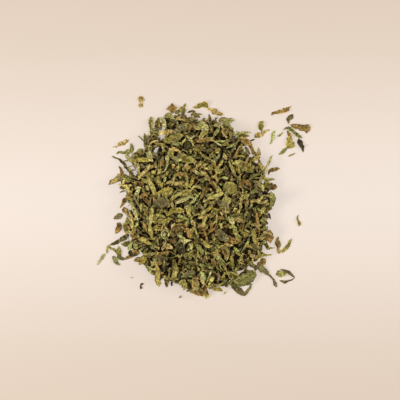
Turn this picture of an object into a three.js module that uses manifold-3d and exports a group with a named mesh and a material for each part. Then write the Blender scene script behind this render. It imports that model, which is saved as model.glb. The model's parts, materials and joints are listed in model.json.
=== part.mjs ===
// A loose heap of dried, rubbed holy basil leaf, with the flakes that lie free on it and round its foot.
// Millimetres, +Z up. The origin is the middle of the heap's flat underside, on the surface it lies on.

import * as THREE from "three";
import { mergeVertices } from "three/addons/utils/BufferGeometryUtils.js";
import Module from "manifold-3d";

// The heap's edge, as a distance from its middle every 30 degrees, anticlockwise from +X
const HEAP_EDGE = [39, 37.5, 40.5, 43, 41.5, 39, 36, 38, 42, 45, 45, 41];
const HEAP_HEIGHT = 20;
const DOME_POWER = 0.8; // under 1 gives a round top and a steep foot
const LEAF_THICKNESS = 0.7;
const CLEARANCE = 0.3; // between a free flake and what it lies on

// The packed middle of the heap, which the flakes stand out of
const CORE_EDGE_SHARE = 0.86;
const CORE_HEIGHT = HEAP_HEIGHT - 5.5;
const CORE_RINGS = [1, 0.96, 0.88, 0.76, 0.6, 0.4, 0.2];
const CORE_SIDES = 36;
const CORE_ROUGHNESS = 0.2;
const CORE_GRIP = 0.4; // how deep the first flakes go into it

// Flakes of the heap, let fall one by one on the core and on each other and fused where they touch
const FOOT_FLAKES = 36;
const FOOT_SPREAD = [0.86, 0.97];
const HEAP_FLAKES = 185;
const HEAP_SPREAD = 0.95; // how far out a flake's middle falls, as a share of the heap's edge
const FLAKE_OUTLINE = [[0.3, 0.7], [0.75, 1.15], [0.1, 0.5]]; // half widths at its ends and middle, as shares
const FLAKE_LENGTH = [8.5, 13];
const FLAKE_WIDTH = [4.4, 7];
const FLAKE_TILT = 10; // degrees either way from the heap's slope
const FLAKE_SINK = 0.45; // how deep it goes into what it falls on
const FLAKE_ARCH = [-0.03, 0.06];
const FLAKE_TWIST = 0.45;
const FIELD_CELL = 0.8; // squares of the grid that keeps the heap's height as it grows
const FIELD_REACH = 64;
const FIELD_SAMPLES = 5; // along each side of half a flake
const SLOPE_REACH = 3; // the slope is read between points this far each way
const SLOPE_BLUR = 2.4;

// Outlines of the free flakes: half widths at even steps along the rib, as shares of the widest
const OUTLINES = {
  leaf: [0.12, 0.72, 1, 0.86, 0.5, 0.1],
  sliver: [0.25, 0.8, 1, 0.95, 0.7, 0.18],
  shard: [0.55, 1, 0.8, 1, 0.75, 0.35],
  disc: [0.45, 0.9, 1, 1, 0.86, 0.4],
};
const TORN = 0.16; // how far a torn edge strays from its outline, as a share
const FREE_FOLD = [0.05, 0.45]; // how steeply the two halves rise from the rib
const FREE_ARCH = [-0.03, 0.1];
const FREE_TWIST = 0.5;
const FREE_TILT = 8;
const DROP_HEIGHT = 4;
const LEAST_DROP = 0.02;

// Flakes that lie on the surface round the heap: outline, colour, place, heading from +X, length and width
const STRAY_FLAKES = {
  stray_tan_shard: ["shard", "tan", -27.2, 49.5, 100, 5.8, 2.8],
  stray_brown_leaf: ["leaf", "brown", 42.9, 44.7, 25, 10.6, 2.4],
  stray_dark_shard: ["shard", "dark", 46.8, 41.2, 60, 5.2, 2.8],
  stray_long_brown_leaf: ["shard", "brown", 53.2, 37, -15, 10.6, 3.2],
  stray_folded_leaf: ["sliver", "green", 49.9, 32.6, -33, 9, 1.9],
  stray_olive_shard: ["disc", "yellow", 47.3, 28.7, 95, 6.2, 4],
  stray_dark_leaf: ["leaf", "dark", 53.4, 26, -65, 7.8, 2.4],
  stray_short_sliver: ["sliver", "green", 43.7, 24.2, 38, 5.2, 1.9],
  stray_wisp: ["sliver", "green", 48.3, 22.5, 25, 3.8, 1.2],
  stray_lime_sliver: ["leaf", "lime", 38.9, 31.9, 70, 7.2, 1.9],
  stray_twisted_bit: ["sliver", "green", 42.9, 33.2, 30, 3.8, 1.2],
  stray_green_shard: ["shard", "olive", 33, 37.6, 80, 4.6, 2.9],
  stray_tan_leaf: ["leaf", "tan", 32.2, 32.3, 28, 8.6, 2.8],
  stray_long_sliver: ["sliver", "pale", 36.8, 18.4, 63, 9.2, 1.7],
  stray_red_leaf: ["leaf", "brown", 40.4, 14.2, 28, 6.8, 2.4],
  stray_ochre_bit: ["sliver", "tan", 51.7, -10.4, -70, 5.4, 1.3],
  stray_upright_leaf: ["leaf", "brown", 41.6, -22.1, -75, 8, 2.4],
  stray_olive_sliver: ["sliver", "yellow", 47.2, -22.8, 48, 9, 1.9],
  stray_green_disc: ["disc", "green", 43.7, -36.9, 20, 5.4, 4],
  stray_rolled_sliver: ["sliver", "dark", 48.4, -35.4, -28, 8.2, 1.4],
  stray_dark_sliver: ["leaf", "dark", 45.9, -40.4, 14, 7.2, 1.8],
  stray_left_leaf: ["leaf", "tan", -37.4, 28.3, 25, 8.7, 2.5],
  stray_left_sliver: ["sliver", "pale", -47.3, -29.8, 52, 6.8, 1.7],
  stray_left_dark_leaf: ["leaf", "green", -39.6, -30.4, -50, 5.5, 2.1],
  stray_small_bit: ["shard", "dark", -27, -43.4, 70, 3, 1.8],
};

// Flakes that lie free on the heap, given in the same way
const TOP_FLAKES = {
  top_grey_leaf: ["disc", "grey", -8.5, 34, 25, 11, 6],
  top_pale_leaf: ["disc", "pale", 3.8, 35.6, -20, 9, 6],
  top_round_olive: ["disc", "olive", -4.4, 19.4, 30, 8, 6.6],
  top_round_dull: ["disc", "olive", 16.9, 6.2, 10, 8, 6.8],
  top_round_dark: ["disc", "grey", -17, -2.2, 0, 7.8, 5.8],
  top_yellow_leaf: ["shard", "yellow", -13.5, 4, 40, 9, 5.6],
  top_yellow_shard: ["shard", "yellow", -8.7, -6.1, 0, 8, 4],
  top_curled_pale: ["sliver", "pale", -3.6, 0.3, 25, 9.4, 3.4],
  top_long_green: ["leaf", "olive", -21.5, 7.1, -60, 10.4, 3.4],
  top_broad_green: ["disc", "olive", 23.5, 16.5, 15, 11, 6.8],
  top_pale_sliver: ["sliver", "pale", -13.6, 17.5, -75, 9.4, 2.9],
  top_long_yellow: ["leaf", "yellow", -26, 19.8, 5, 11, 3.5],
  top_tan_leaf: ["leaf", "tan", -31, -10, -70, 10, 3.4],
  top_upright_green: ["leaf", "olive", -22.5, -8.6, 85, 9, 3],
  top_brown_curl: ["disc", "brown", -7.8, -14.8, 50, 7, 4.2],
  top_tan_shard: ["shard", "tan", 5.9, 12.8, -40, 6.6, 4],
  top_small_tan: ["sliver", "tan", -7, 9.6, -5, 7, 2.8],
  top_red_curl: ["disc", "brown", 25.6, 7.5, 20, 6.6, 4.4],
  top_left_yellow: ["leaf", "yellow", -24.2, -20.2, -30, 7.8, 3.8],
  top_foot_yellow: ["leaf", "yellow", -17.6, -35, 80, 11, 4],
  top_foot_ochre: ["leaf", "tan", -0.3, -40.6, 80, 8.6, 4],
  top_big_green: ["disc", "green", 23.2, -37.6, 15, 11, 7],
  top_foot_dark: ["leaf", "dark", 20.8, -45.2, -38, 9.4, 3],
  top_edge_brown: ["shard", "brown", 37.3, -17.2, 60, 5, 4.4],
  top_rim_brown: ["leaf", "tan", 10.5, 43.8, -27, 8.8, 3],
  top_rim_pale: ["shard", "pale", 16.4, 38.8, 0, 8.4, 4.2],
  top_right_brown: ["shard", "brown", 25.4, 28.8, -40, 8, 4],
  top_left_curved: ["sliver", "dark", -36.8, 18.3, -40, 12, 1.8],
  top_left_rim_tan: ["leaf", "tan", -38.8, 9.5, 35, 7.2, 2.8],
  top_left_rim_brown: ["shard", "brown", -37.4, -14.2, 80, 5.2, 4],
};

// A leaf at the heap's foot that still has its stalk, which runs from the leaf's root to a point beside it
const STALKED_LEAF = ["leaf", "grey", 33, -34.5, 145, 9, 3.6];
const STALK_END = [-2.7, -6.4];
const STALK_BEND = [0.6, -4.2];
const STALK_THICKNESS = 1;
const STALK_SIDES = 6;
const STALK_STEPS = 6;

// A bit of bare stalk on the heap, dried into a coil
const COIL_PLACE = [-14.3, -16.2];
const COIL_RADIUS = [1.9, 1.3]; // at its two ends
const COIL_TURNS = 1.3;
const COIL_RISE = 1.7;
const COIL_STEPS = 18;

const COLOURS = {
  olive: 0x86793c,
  yellow: 0x9a8f42,
  pale: 0xa9a76c,
  lime: 0xa9b25c,
  green: 0x6f7338,
  dark: 0x474524,
  tan: 0xa98a50,
  brown: 0x86602f,
  grey: 0x6f6743,
};
const LEAF_ROUGHNESS = 0.85;

const TURN = 2 * Math.PI;
const EVEN_STEPS = [0.75488, 0.56984]; // steps round and out that fill the heap evenly at any count

const wasm = await Module();
wasm.setup();

// A seeded run of even random numbers, so that every build gives the same heap
let seed = 20;
function random() {
  seed = (seed + 0x6d2b79f5) | 0;
  let mixed = Math.imul(seed ^ (seed >>> 15), 1 | seed);
  mixed = (mixed + Math.imul(mixed ^ (mixed >>> 7), 61 | mixed)) ^ mixed;
  return ((mixed ^ (mixed >>> 14)) >>> 0) / 2 ** 32;
}

function between([low, high]) {
  return THREE.MathUtils.lerp(low, high, random());
}

function eitherWay(most) {
  return between([-most, most]);
}

// Closed geometry as a solid that can be joined to others
function solidOf(geometry) {
  const bare = geometry.clone();
  bare.deleteAttribute("normal");
  bare.deleteAttribute("uv");
  const merged = mergeVertices(bare, 1e-4);
  return new wasm.Manifold(
    new wasm.Mesh({
      numProp: 3,
      vertProperties: new Float32Array(merged.getAttribute("position").array),
      triVerts: new Uint32Array(merged.getIndex().array),
    }),
  );
}

// Joins solids and keeps the one outer skin, so that sealed pockets are filled and loose scraps dropped
function fused(solids) {
  const skins = wasm.Manifold.union(solids).decompose();
  return skins.reduce((largest, skin) => (skin.volume() > largest.volume() ? skin : largest));
}

function meshOf(name, solid, colour) {
  const { vertProperties, triVerts } = solid.getMesh();
  const geometry = new THREE.BufferGeometry();
  geometry.setAttribute("position", new THREE.BufferAttribute(vertProperties, 3));
  geometry.setIndex(new THREE.BufferAttribute(triVerts, 1));
  geometry.computeVertexNormals();
  const material = new THREE.MeshStandardMaterial({
    color: COLOURS[colour],
    roughness: LEAF_ROUGHNESS,
    metalness: 0,
    flatShading: true,
  });
  const mesh = new THREE.Mesh(geometry, material);
  mesh.name = name;
  return mesh;
}

// The heap's edge at an angle, eased between the given distances
function heapEdge(angle) {
  const place = THREE.MathUtils.euclideanModulo(angle / TURN, 1) * HEAP_EDGE.length;
  const before = HEAP_EDGE[Math.floor(place) % HEAP_EDGE.length];
  const after = HEAP_EDGE[Math.ceil(place) % HEAP_EDGE.length];
  return THREE.MathUtils.lerp(before, after, THREE.MathUtils.smoothstep(place % 1, 0, 1));
}

// The core's height over a point
function coreHeight(x, y) {
  const share = Math.hypot(x, y) / (heapEdge(Math.atan2(y, x)) * CORE_EDGE_SHARE);
  return CORE_HEIGHT * Math.max(0, 1 - share ** 2) ** DOME_POWER;
}

// Tilts a flake up along its rib by a pitch, and about it by a roll, in degrees
function tilt(pitch, roll) {
  const turn = new THREE.Matrix4().makeRotationX(THREE.MathUtils.degToRad(pitch));
  return turn.multiply(new THREE.Matrix4().makeRotationY(THREE.MathUtils.degToRad(roll)));
}

// A flake has its rib along Y, with half widths to its left and right at even steps. It is folded up from
// its rib, arched along it and twisted about it. Its face comes first in the list of points, then its
// underside in the same order, and both are split into triangles alike.
function flakeGeometry({ length, left, right, columns, fold, arch, twist }) {
  const last = left.length - 1;
  const axis = new THREE.Vector3(0, 1, 0);
  const points = [];
  for (const side of [LEAF_THICKNESS / 2, -LEAF_THICKNESS / 2]) {
    for (let row = 0; row <= last; row++) {
      for (let column = 0; column <= columns; column++) {
        const along = row / last;
        const share = (2 * column) / columns - 1;
        const x = share * (share < 0 ? left[row] : right[row]);
        const lift = fold * Math.abs(x) - arch * length * (2 * along - 1) ** 2;
        const point = new THREE.Vector3(x, 0, side + lift).applyAxisAngle(axis, twist * (along - 0.5));
        points.push(point.setY((along - 0.5) * length));
      }
    }
  }
  const geometry = new THREE.BufferGeometry().setFromPoints(points);
  geometry.setIndex(blade(last, columns));
  return geometry;
}

// Triangles of a thin blade whose face and underside are grids of points
function blade(rows, columns) {
  const under = (rows + 1) * (columns + 1);
  const at = (row, column) => row * (columns + 1) + column;
  const triangles = [];
  for (let row = 0; row < rows; row++) {
    for (let column = 0; column < columns; column++) {
      const [a, b] = [at(row, column), at(row, column + 1)];
      const [d, c] = [at(row + 1, column), at(row + 1, column + 1)];
      triangles.push(a, b, c, a, c, d);
      triangles.push(under + a, under + c, under + b, under + a, under + d, under + c);
    }
  }
  const rim = [];
  for (let column = 0; column < columns; column++) rim.push(at(0, column));
  for (let row = 0; row < rows; row++) rim.push(at(row, columns));
  for (let column = columns; column > 0; column--) rim.push(at(rows, column));
  for (let row = rows; row > 0; row--) rim.push(at(row, 0));
  rim.forEach((start, i) => {
    const end = rim[(i + 1) % rim.length];
    triangles.push(under + start, under + end, end, under + start, end, start);
  });
  return triangles;
}

// Lifts what would be under the surface, face and underside together, so that a flake lies along it
function laidOnSurface(flake) {
  const places = flake.getAttribute("position");
  const under = places.count / 2;
  for (let i = 0; i < under; i++) {
    const lowest = Math.max(0, places.getZ(under + i));
    places.setZ(under + i, lowest);
    places.setZ(i, Math.max(lowest + LEAF_THICKNESS, places.getZ(i)));
  }
  return flake;
}

// The core is turned from a flat-bottomed profile, drawn out to the heap's outline and roughened
function coreGeometry() {
  const profile = CORE_RINGS.map((ring) => new THREE.Vector2(ring, (1 - ring ** 2) ** DOME_POWER));
  const closed = [new THREE.Vector2(0, 0), ...profile, new THREE.Vector2(0, 1)];
  const lathe = new THREE.LatheGeometry(closed, CORE_SIDES).rotateX(Math.PI / 2);
  lathe.deleteAttribute("normal");
  lathe.deleteAttribute("uv");
  const core = mergeVertices(lathe, 1e-4);
  const places = core.getAttribute("position");
  for (let i = 0; i < places.count; i++) {
    const [x, y, z] = [places.getX(i), places.getY(i), places.getZ(i)];
    const reach = heapEdge(Math.atan2(y, x)) * CORE_EDGE_SHARE;
    const raised = z > 0.01 ? eitherWay(CORE_ROUGHNESS) : 0;
    places.setXYZ(i, x * reach, y * reach, z * CORE_HEIGHT + raised);
  }
  return core;
}

// The heap's height as it grows, on a grid of squares round the origin
const fieldSpan = Math.ceil((2 * FIELD_REACH) / FIELD_CELL);
const field = new Float32Array(fieldSpan ** 2);

function fieldSquare(x, y) {
  const column = Math.floor((x + FIELD_REACH) / FIELD_CELL);
  const row = Math.floor((y + FIELD_REACH) / FIELD_CELL);
  return row * fieldSpan + column;
}

function raiseFieldToCore() {
  for (let y = -FIELD_REACH + FIELD_CELL / 2; y < FIELD_REACH; y += FIELD_CELL) {
    for (let x = -FIELD_REACH + FIELD_CELL / 2; x < FIELD_REACH; x += FIELD_CELL) {
      field[fieldSquare(x, y)] = Math.max(0, coreHeight(x, y) - CORE_GRIP);
    }
  }
}

// Heights of the squares that a box is over
function heightsUnder(lowX, lowY, highX, highY) {
  const heights = [];
  for (let y = lowY; y < highY + FIELD_CELL; y += FIELD_CELL) {
    for (let x = lowX; x < highX + FIELD_CELL; x += FIELD_CELL) heights.push(field[fieldSquare(x, y)]);
  }
  return heights;
}

function meanHeight(x, y) {
  const heights = heightsUnder(x - SLOPE_BLUR, y - SLOPE_BLUR, x + SLOPE_BLUR, y + SLOPE_BLUR);
  return heights.reduce((sum, height) => sum + height, 0) / heights.length;
}

// Axes for a flake at a point of the heap: across it, along its heading, and out of the slope
function slopeAxes(x, y, heading) {
  const riseX = (meanHeight(x + SLOPE_REACH, y) - meanHeight(x - SLOPE_REACH, y)) / (2 * SLOPE_REACH);
  const riseY = (meanHeight(x, y + SLOPE_REACH) - meanHeight(x, y - SLOPE_REACH)) / (2 * SLOPE_REACH);
  const normal = new THREE.Vector3(-riseX, -riseY, 1).normalize();
  const level = new THREE.Vector3(Math.cos(heading), Math.sin(heading), 0);
  const across = new THREE.Vector3().crossVectors(level, normal).normalize();
  const along = new THREE.Vector3().crossVectors(normal, across);
  return new THREE.Matrix4().makeBasis(across, along, normal);
}

// The squares that a flake of one column is over, with the height there of its face and of its underside
function shadow(flake) {
  const places = flake.getAttribute("position");
  const under = places.count / 2;
  const point = new THREE.Vector3();
  const squares = [];
  for (let corner = 0; corner + 3 < under; corner += 2) {
    for (let i = 0; i <= FIELD_SAMPLES; i++) {
      for (let j = 0; j <= FIELD_SAMPLES; j++) {
        const [u, v] = [i / FIELD_SAMPLES, j / FIELD_SAMPLES];
        const shares = [(1 - u) * (1 - v), u * (1 - v), (1 - u) * v, u * v];
        const face = new THREE.Vector3();
        let underside = 0;
        shares.forEach((share, k) => {
          face.addScaledVector(point.fromBufferAttribute(places, corner + k), share);
          underside += share * places.getZ(under + corner + k);
        });
        squares.push({ square: fieldSquare(face.x, face.y), face: face.z, underside });
      }
    }
  }
  return squares;
}

// Lowers a flake on what has fallen before it, a little way into it, and adds it to the heap's height
function letFall(flake) {
  const gaps = shadow(flake).map(({ square, underside }) => underside - field[square]);
  laidOnSurface(flake.translate(0, 0, -Math.min(...gaps) - FLAKE_SINK));
  for (const { square, face } of shadow(flake)) field[square] = Math.max(field[square], face);
  return flake;
}

// A flake of the heap, torn at random, that lies nearly along the slope at a point
function heapFlake(x, y) {
  const half = between(FLAKE_WIDTH) / 2;
  const torn = () => FLAKE_OUTLINE.map((share) => between(share) * half);
  const flake = flakeGeometry({
    length: between(FLAKE_LENGTH),
    left: torn(),
    right: torn(),
    columns: 1,
    fold: 0,
    arch: between(FLAKE_ARCH),
    twist: eitherWay(FLAKE_TWIST),
  });
  flake.applyMatrix4(tilt(eitherWay(FLAKE_TILT), eitherWay(FLAKE_TILT)));
  return flake.applyMatrix4(slopeAxes(x, y, random() * TURN).setPosition(x, y, 0));
}

// The heap starts with a ring of flakes round its foot, and the rest fall all over it
function heapSolid() {
  raiseFieldToCore();
  const solids = [solidOf(coreGeometry())];
  const fallAt = (angle, share) => {
    const reach = share * heapEdge(angle);
    solids.push(solidOf(letFall(heapFlake(reach * Math.cos(angle), reach * Math.sin(angle)))));
  };
  for (let i = 0; i < FOOT_FLAKES; i++) fallAt((i / FOOT_FLAKES) * TURN, between(FOOT_SPREAD));
  for (let i = 0; i < HEAP_FLAKES; i++) {
    fallAt(((i * EVEN_STEPS[0]) % 1) * TURN, Math.sqrt((i * EVEN_STEPS[1]) % 1) * HEAP_SPREAD);
  }
  return fused(solids);
}

// A free flake, torn at random from its outline
function freeFlake([outline, , , , , length, width]) {
  const torn = () => OUTLINES[outline].map((share) => (share * width * (1 + eitherWay(TORN))) / 2);
  return flakeGeometry({
    length,
    left: torn(),
    right: torn(),
    columns: 2,
    fold: between(FREE_FOLD),
    arch: between(FREE_ARCH),
    twist: eitherWay(FREE_TWIST),
  });
}

// A round stalk along a curve
function stalkGeometry(curve, steps) {
  const section = new THREE.Shape();
  section.absarc(0, 0, STALK_THICKNESS / 2, 0, TURN);
  return new THREE.ExtrudeGeometry(section, {
    extrudePath: curve,
    steps,
    curveSegments: STALK_SIDES / 2,
    bevelEnabled: false,
  });
}

function stalkedLeafSolid() {
  const root = -STALKED_LEAF[5] / 2;
  const curve = new THREE.QuadraticBezierCurve3(
    new THREE.Vector3(0, root + STALK_THICKNESS, 0),
    new THREE.Vector3(STALK_BEND[0], root + STALK_BEND[1], 0),
    new THREE.Vector3(STALK_END[0], root + STALK_END[1], 0),
  );
  return fused([freeFlake(STALKED_LEAF), stalkGeometry(curve, STALK_STEPS)].map(solidOf));
}

class Coil extends THREE.Curve {
  getPoint(share, target = new THREE.Vector3()) {
    const angle = share * COIL_TURNS * TURN;
    const radius = THREE.MathUtils.lerp(COIL_RADIUS[0], COIL_RADIUS[1], share);
    return target.set(radius * Math.cos(angle), radius * Math.sin(angle), COIL_RISE * share);
  }
}

// Turns a solid to the slope at its place, and lowers it until it lies on the surface or on what is there
function settled(solid, x, y, heading, below) {
  const axes = slopeAxes(x, y, THREE.MathUtils.degToRad(heading));
  axes.multiply(tilt(eitherWay(FREE_TILT), eitherWay(FREE_TILT)));
  let placed = solid.transform(axes.setPosition(x, y, 0).elements);
  const { min, max } = placed.boundingBox();
  const highest = Math.max(...heightsUnder(min[0], min[1], max[0], max[1]));
  placed = placed.translate(0, 0, highest + DROP_HEIGHT - min[2]);
  for (;;) {
    const gaps = below.map((other) => placed.minGap(other, DROP_HEIGHT) - CLEARANCE);
    const drop = Math.min(placed.boundingBox().min[2], ...gaps);
    if (drop < LEAST_DROP) return placed;
    placed = placed.translate(0, 0, -drop);
  }
}

const part = new THREE.Group();
part.name = "holy_basil_heap";
const laid = [];

function add(name, solid, colour) {
  laid.push(solid);
  part.add(meshOf(name, solid, colour));
}

add("leaf_heap", heapSolid(), "olive");
for (const [name, flake] of Object.entries({ ...STRAY_FLAKES, ...TOP_FLAKES })) {
  const [, colour, x, y, heading] = flake;
  add(name, settled(solidOf(freeFlake(flake)), x, y, heading, laid), colour);
}
const [, leafColour, leafX, leafY, leafHeading] = STALKED_LEAF;
add("stalked_leaf", settled(stalkedLeafSolid(), leafX, leafY, leafHeading, laid), leafColour);
const coil = solidOf(stalkGeometry(new Coil(), COIL_STEPS));
add("coiled_stalk", settled(coil, COIL_PLACE[0], COIL_PLACE[1], 0, laid), "pale");

export default part;
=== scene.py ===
"""A loose heap of dried, rubbed holy basil leaf with stray flakes round it, on a pale surface.

Each flake is a thin closed blade. Flakes are let fall one after another on a grid that keeps the
heap's height, so that each lies on the ones below it. Sizes are in millimetres until a mesh is made,
and then in metres.
"""

import json
import math

import bpy
import numpy as np
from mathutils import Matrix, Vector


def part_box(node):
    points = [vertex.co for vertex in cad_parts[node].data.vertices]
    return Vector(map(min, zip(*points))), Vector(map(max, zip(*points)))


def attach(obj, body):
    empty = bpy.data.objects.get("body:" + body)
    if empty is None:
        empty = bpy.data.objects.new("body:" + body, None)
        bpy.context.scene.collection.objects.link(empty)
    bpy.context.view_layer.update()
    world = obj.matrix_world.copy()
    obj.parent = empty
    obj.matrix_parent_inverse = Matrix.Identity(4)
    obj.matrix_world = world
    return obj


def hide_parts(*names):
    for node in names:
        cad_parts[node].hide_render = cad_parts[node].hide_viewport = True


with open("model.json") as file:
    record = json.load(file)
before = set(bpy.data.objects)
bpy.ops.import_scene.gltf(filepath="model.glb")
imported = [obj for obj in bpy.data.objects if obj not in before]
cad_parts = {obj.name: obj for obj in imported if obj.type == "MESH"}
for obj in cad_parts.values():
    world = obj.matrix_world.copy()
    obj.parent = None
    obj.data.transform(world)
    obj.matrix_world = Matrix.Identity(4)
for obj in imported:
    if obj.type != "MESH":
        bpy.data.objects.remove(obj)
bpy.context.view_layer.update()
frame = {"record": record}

MM = 0.001
TURN = 2 * np.pi
rng = np.random.default_rng(5)

# The heap: how far its foot reaches every 15 degrees, anticlockwise from +X
HEAP_EDGE = [
    38.5, 38.5, 37.5, 39, 40, 41.5, 42, 45, 43.5, 37, 40, 39.5,
    36, 37.5, 40.5, 41.5, 42.5, 43.5, 46, 45.5, 48, 45, 41.5, 37.5,
]

# The heap's packed middle, with rings as shares of its reach: out along its floor, back over its dome
CORE_EDGE_SHARE = 0.78
CORE_HEIGHT = 13
CORE_SIDES = 96
CORE_LIFT = 0.05
CORE_FLOOR = [0.02, 0.5, 1]
CORE_DOME = [1, 0.985, 0.95, 0.9, 0.82, 0.72, 0.6, 0.48, 0.36, 0.24, 0.12, 0.02]
DOME_POWER = 0.8

# The grid of heights that flakes fall on
CELL = 0.4
GRID_REACH = 66
SLOPE_REACH = 2.5
SLOPE_BLUR = 1.2

# The heap's loose flakes, bits of stalk and crumbs
HEAP_FLAKES = 1900
HEAP_STALKS = 120
HEAP_CRUMBS = 1200
HEAP_SPREAD = 0.95
TRIES = 3
LENGTH_MIDDLE = 5.1
LENGTH_SPREAD = 0.33
LENGTH_LIMITS = (3, 9)
CRUMB_LENGTH = (1.4, 3.6)
CRUMB_WIDTH = (0.35, 0.8)  # as a share of the length
SINK = 0.15  # the share of a flake that goes in among the ones below it
TILT = 13  # degrees
STEEP_SHARE = 0.15
STEEP_TILT = 38

# Flat flakes under the heap's foot, and slim ones that point out of it
FOOT_FLAKES = 420
FOOT_SPREAD = (0.72, 0.95)
FOOT_LENGTH = (3.5, 6.5)
FOOT_EASE = 0.6  # how far they keep their kind's curl and bend
FRINGE_FLAKES = 200
FRINGE_SPREAD = (0.78, 0.97)
FRINGE_LENGTH = (4, 8)
FRINGE_KINDS = {"sliver": 0.6, "leaf": 0.4}
FRINGE_TURN = 0.7  # radians either way from straight out

# Bits of stalk: how far they bow to one side and to both, and how thin their ends are
STALK_LENGTH = (4, 9)
STALK_RADIUS = (0.18, 0.34)
STALK_STEPS = 9
STALK_BOWS = (0.16, 0.12)
STALK_RISE = 0.1
STALK_TAPER = 0.7
STALK_SIDES = 6
STALK_VEINS = 5  # the length that veins are spaced along, whatever the stalk's own
NEARLY_UP = (0.02, 0.03, 1)

# Painted shade: how much darker a flake is painted down between the others, where the flakes around it
# would shade it
HOLLOW_BLUR = 1.6
HOLLOW_DEPTHS = (-0.2, 1.7)
PAINTED_HOLLOW_SHADE = "523c12"
OPEN_HEIGHT = 6  # up to here light comes in from the heap's open side
OPEN_SHARE = 0.2

# A blade's build
THICKNESS = 0.2
ROW_STEP = 0.5
ROWS = (4, 16)
COLUMN_STEP = 0.42
COLUMNS = (2, 5)  # to each side of the rib
LEAST_HALF_WIDTH = 0.07
RAGGED = 0.22
TOOTH = 0.07
WANDER = 0.5  # how far each side strays from its outline
TORN_SHARE = 0.6
TORN = (0.05, 0.35)  # the share of a torn blade that is gone from its foot
BURIED_COARSENESS = 1.5
BROWN_MARGINS = 0.3  # the share of blades whose margin is browner, not lighter
FADING = 0.28  # how far a blade's colour drifts along it, as a share of its range

# A shard's outline: where its ends begin, how wide each is, and how far its sides stray
SHARD_ENDS = (0, 0.2, 0.75, 1)
SHARD_START = (0.2, 0.9)
SHARD_TIP = (0.05, 0.6)
SHARD_SIDES = (0.35, 1.1)
SHARD_BITES = 6

# Kinds of flake: share of the heap, width as a share of the length, and the most that the blade
# curls across, folds at its rib, bends along and twists, in radians, and crumples, in millimetres
KINDS = {
    "sliver": dict(share=0.34, width=(0.16, 0.3), curl=1.7, fold=1.0, bend=1.5, twist=2.6, crumple=0.16),
    "leaf": dict(share=0.34, width=(0.28, 0.44), curl=1.6, fold=1.0, bend=1.5, twist=1.8, crumple=0.25),
    "shard": dict(share=0.32, width=(0.4, 0.66), curl=1.7, fold=0.9, bend=1.5, twist=1.5, crumple=0.34),
}
LENS_POWER = {"sliver": 0.6, "leaf": 0.9}

# How a blade's form is drawn, as shares of the most that its kind takes
CURLS_UP = 0.65  # the share of blades that curl upward
CURL = (0.1, 1)
CURL_DRIFT = (0.3, 1.3)
CURL_POWER = (0.8, 2.2)
FOLD = (-0.2, 1)
BEND = (0.15, 0.55)  # middle and spread
PITCH_DRIFT = 0.3  # radians
TWIST_SPREAD = 0.6
SICKLE_SPREAD = 0.1  # as a share of the length
CRUMPLES = 3
CRUMPLE_SHARE = (0.3, 1)
CRUMPLE_WAVE = (1.1, 3)

# A traced blade's build, and the most that it folds, curls, bends, twists and crumples
TRACED_ROW_STEP = 0.42
TRACED_ROWS = (6, 30)
TRACED_COLUMN_STEP = 0.36
TRACED_COLUMNS = (2, 7)
TRACED_TIPS = (0, 0.12, 0.88, 1)  # shares of the length between which each end narrows
TRACED_TIP_WIDTH = (0, 0.7)
TRACED_WANDER = 0.3
TRACED_SLOPE = 0.7  # the steepest rise of a traced flake along the heap's side
LEAST_SLOPE = 1e-6
TRACED_STIFF = 1.1  # the reach to a side past which a blade is flatter
TRACED_FOLD = (-0.4, 1)
TRACED_CURL = 0.7
TRACED_CURL_SHARE = (-0.6, 1)
TRACED_BEND = 0.35
TRACED_TWIST = 0.6
TRACED_KNOTS = 4
TRACED_CRUMPLE = 0.14

# Leaf colours: share of the heap, the dark and the light end of the blade's own colour, and its stains
COLOURS = {
    "olive": (0.28, "71661c", "c9bd6a", "7e652a"),
    "yellow": (0.16, "887a26", "d2c166", "9a7c2c"),
    "green": (0.13, "626126", "b5b166", "706829"),
    "dark": (0.07, "342b0e", "786c3e", "4e3f1a"),
    "brown": (0.12, "6c5320", "be9a50", "5b431b"),
    "tan": (0.12, "8f7530", "e2c87e", "94722c"),
    "grey": (0.06, "5a502c", "9c9162", "70602f"),
    "pale": (0.04, "9a9550", "dcd694", "ac9c50"),
    "lime": (0.02, "889033", "ccd281", "999840"),
}
UNDERSIDE = "bcae78"
MARGIN = "4a3c18"

# The leaf's surface: scales are repeats in a metre, with their detail; tints are shares of the other colour
BLOTCHES = (380, 3)
GRAIN = (1000, 4)
CREASES = 850
BLOTCH_RANGE = (0.3, 0.7)
STAIN_RANGE = (0.47, 0.66)
GRAIN_RANGE = (0.32, 0.68)
RIB_EDGE = (0.07, 0.2)  # millimetres from the rib
VEIN_EDGE = (0.02, 0.13)  # shares of the step
VEIN_STEP = 1.1
VEIN_SLANT = 1.2
VEIN_SHARE = 0.55
VEIN_SHIFT = 10  # how far the veins move from blade to blade
OFF_RIB = 3.0  # where no rib shows
# The lighter margin is partly paler torn tissue and partly a painted highlight along the blade's edge
PALE_EDGE_AND_HIGHLIGHT = (0.7, 1)
BROWN_MARGIN = (-0.55, -1)
STAIN_TINT = 0.7
RIB_TINT = 0.4
PALE_EDGE_AND_HIGHLIGHT_TINT = 0.6
BROWN_MARGIN_TINT = 0.55
UNDERSIDE_TINT = 0.4
GRAIN_TONES = (0.46, 1.66)
LEAF_ROUGHNESS = (0.45, 0.75)
LEAF_SHINE = 0.3
RIB_RELIEF = 0.4
RELIEF = 0.45

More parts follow.
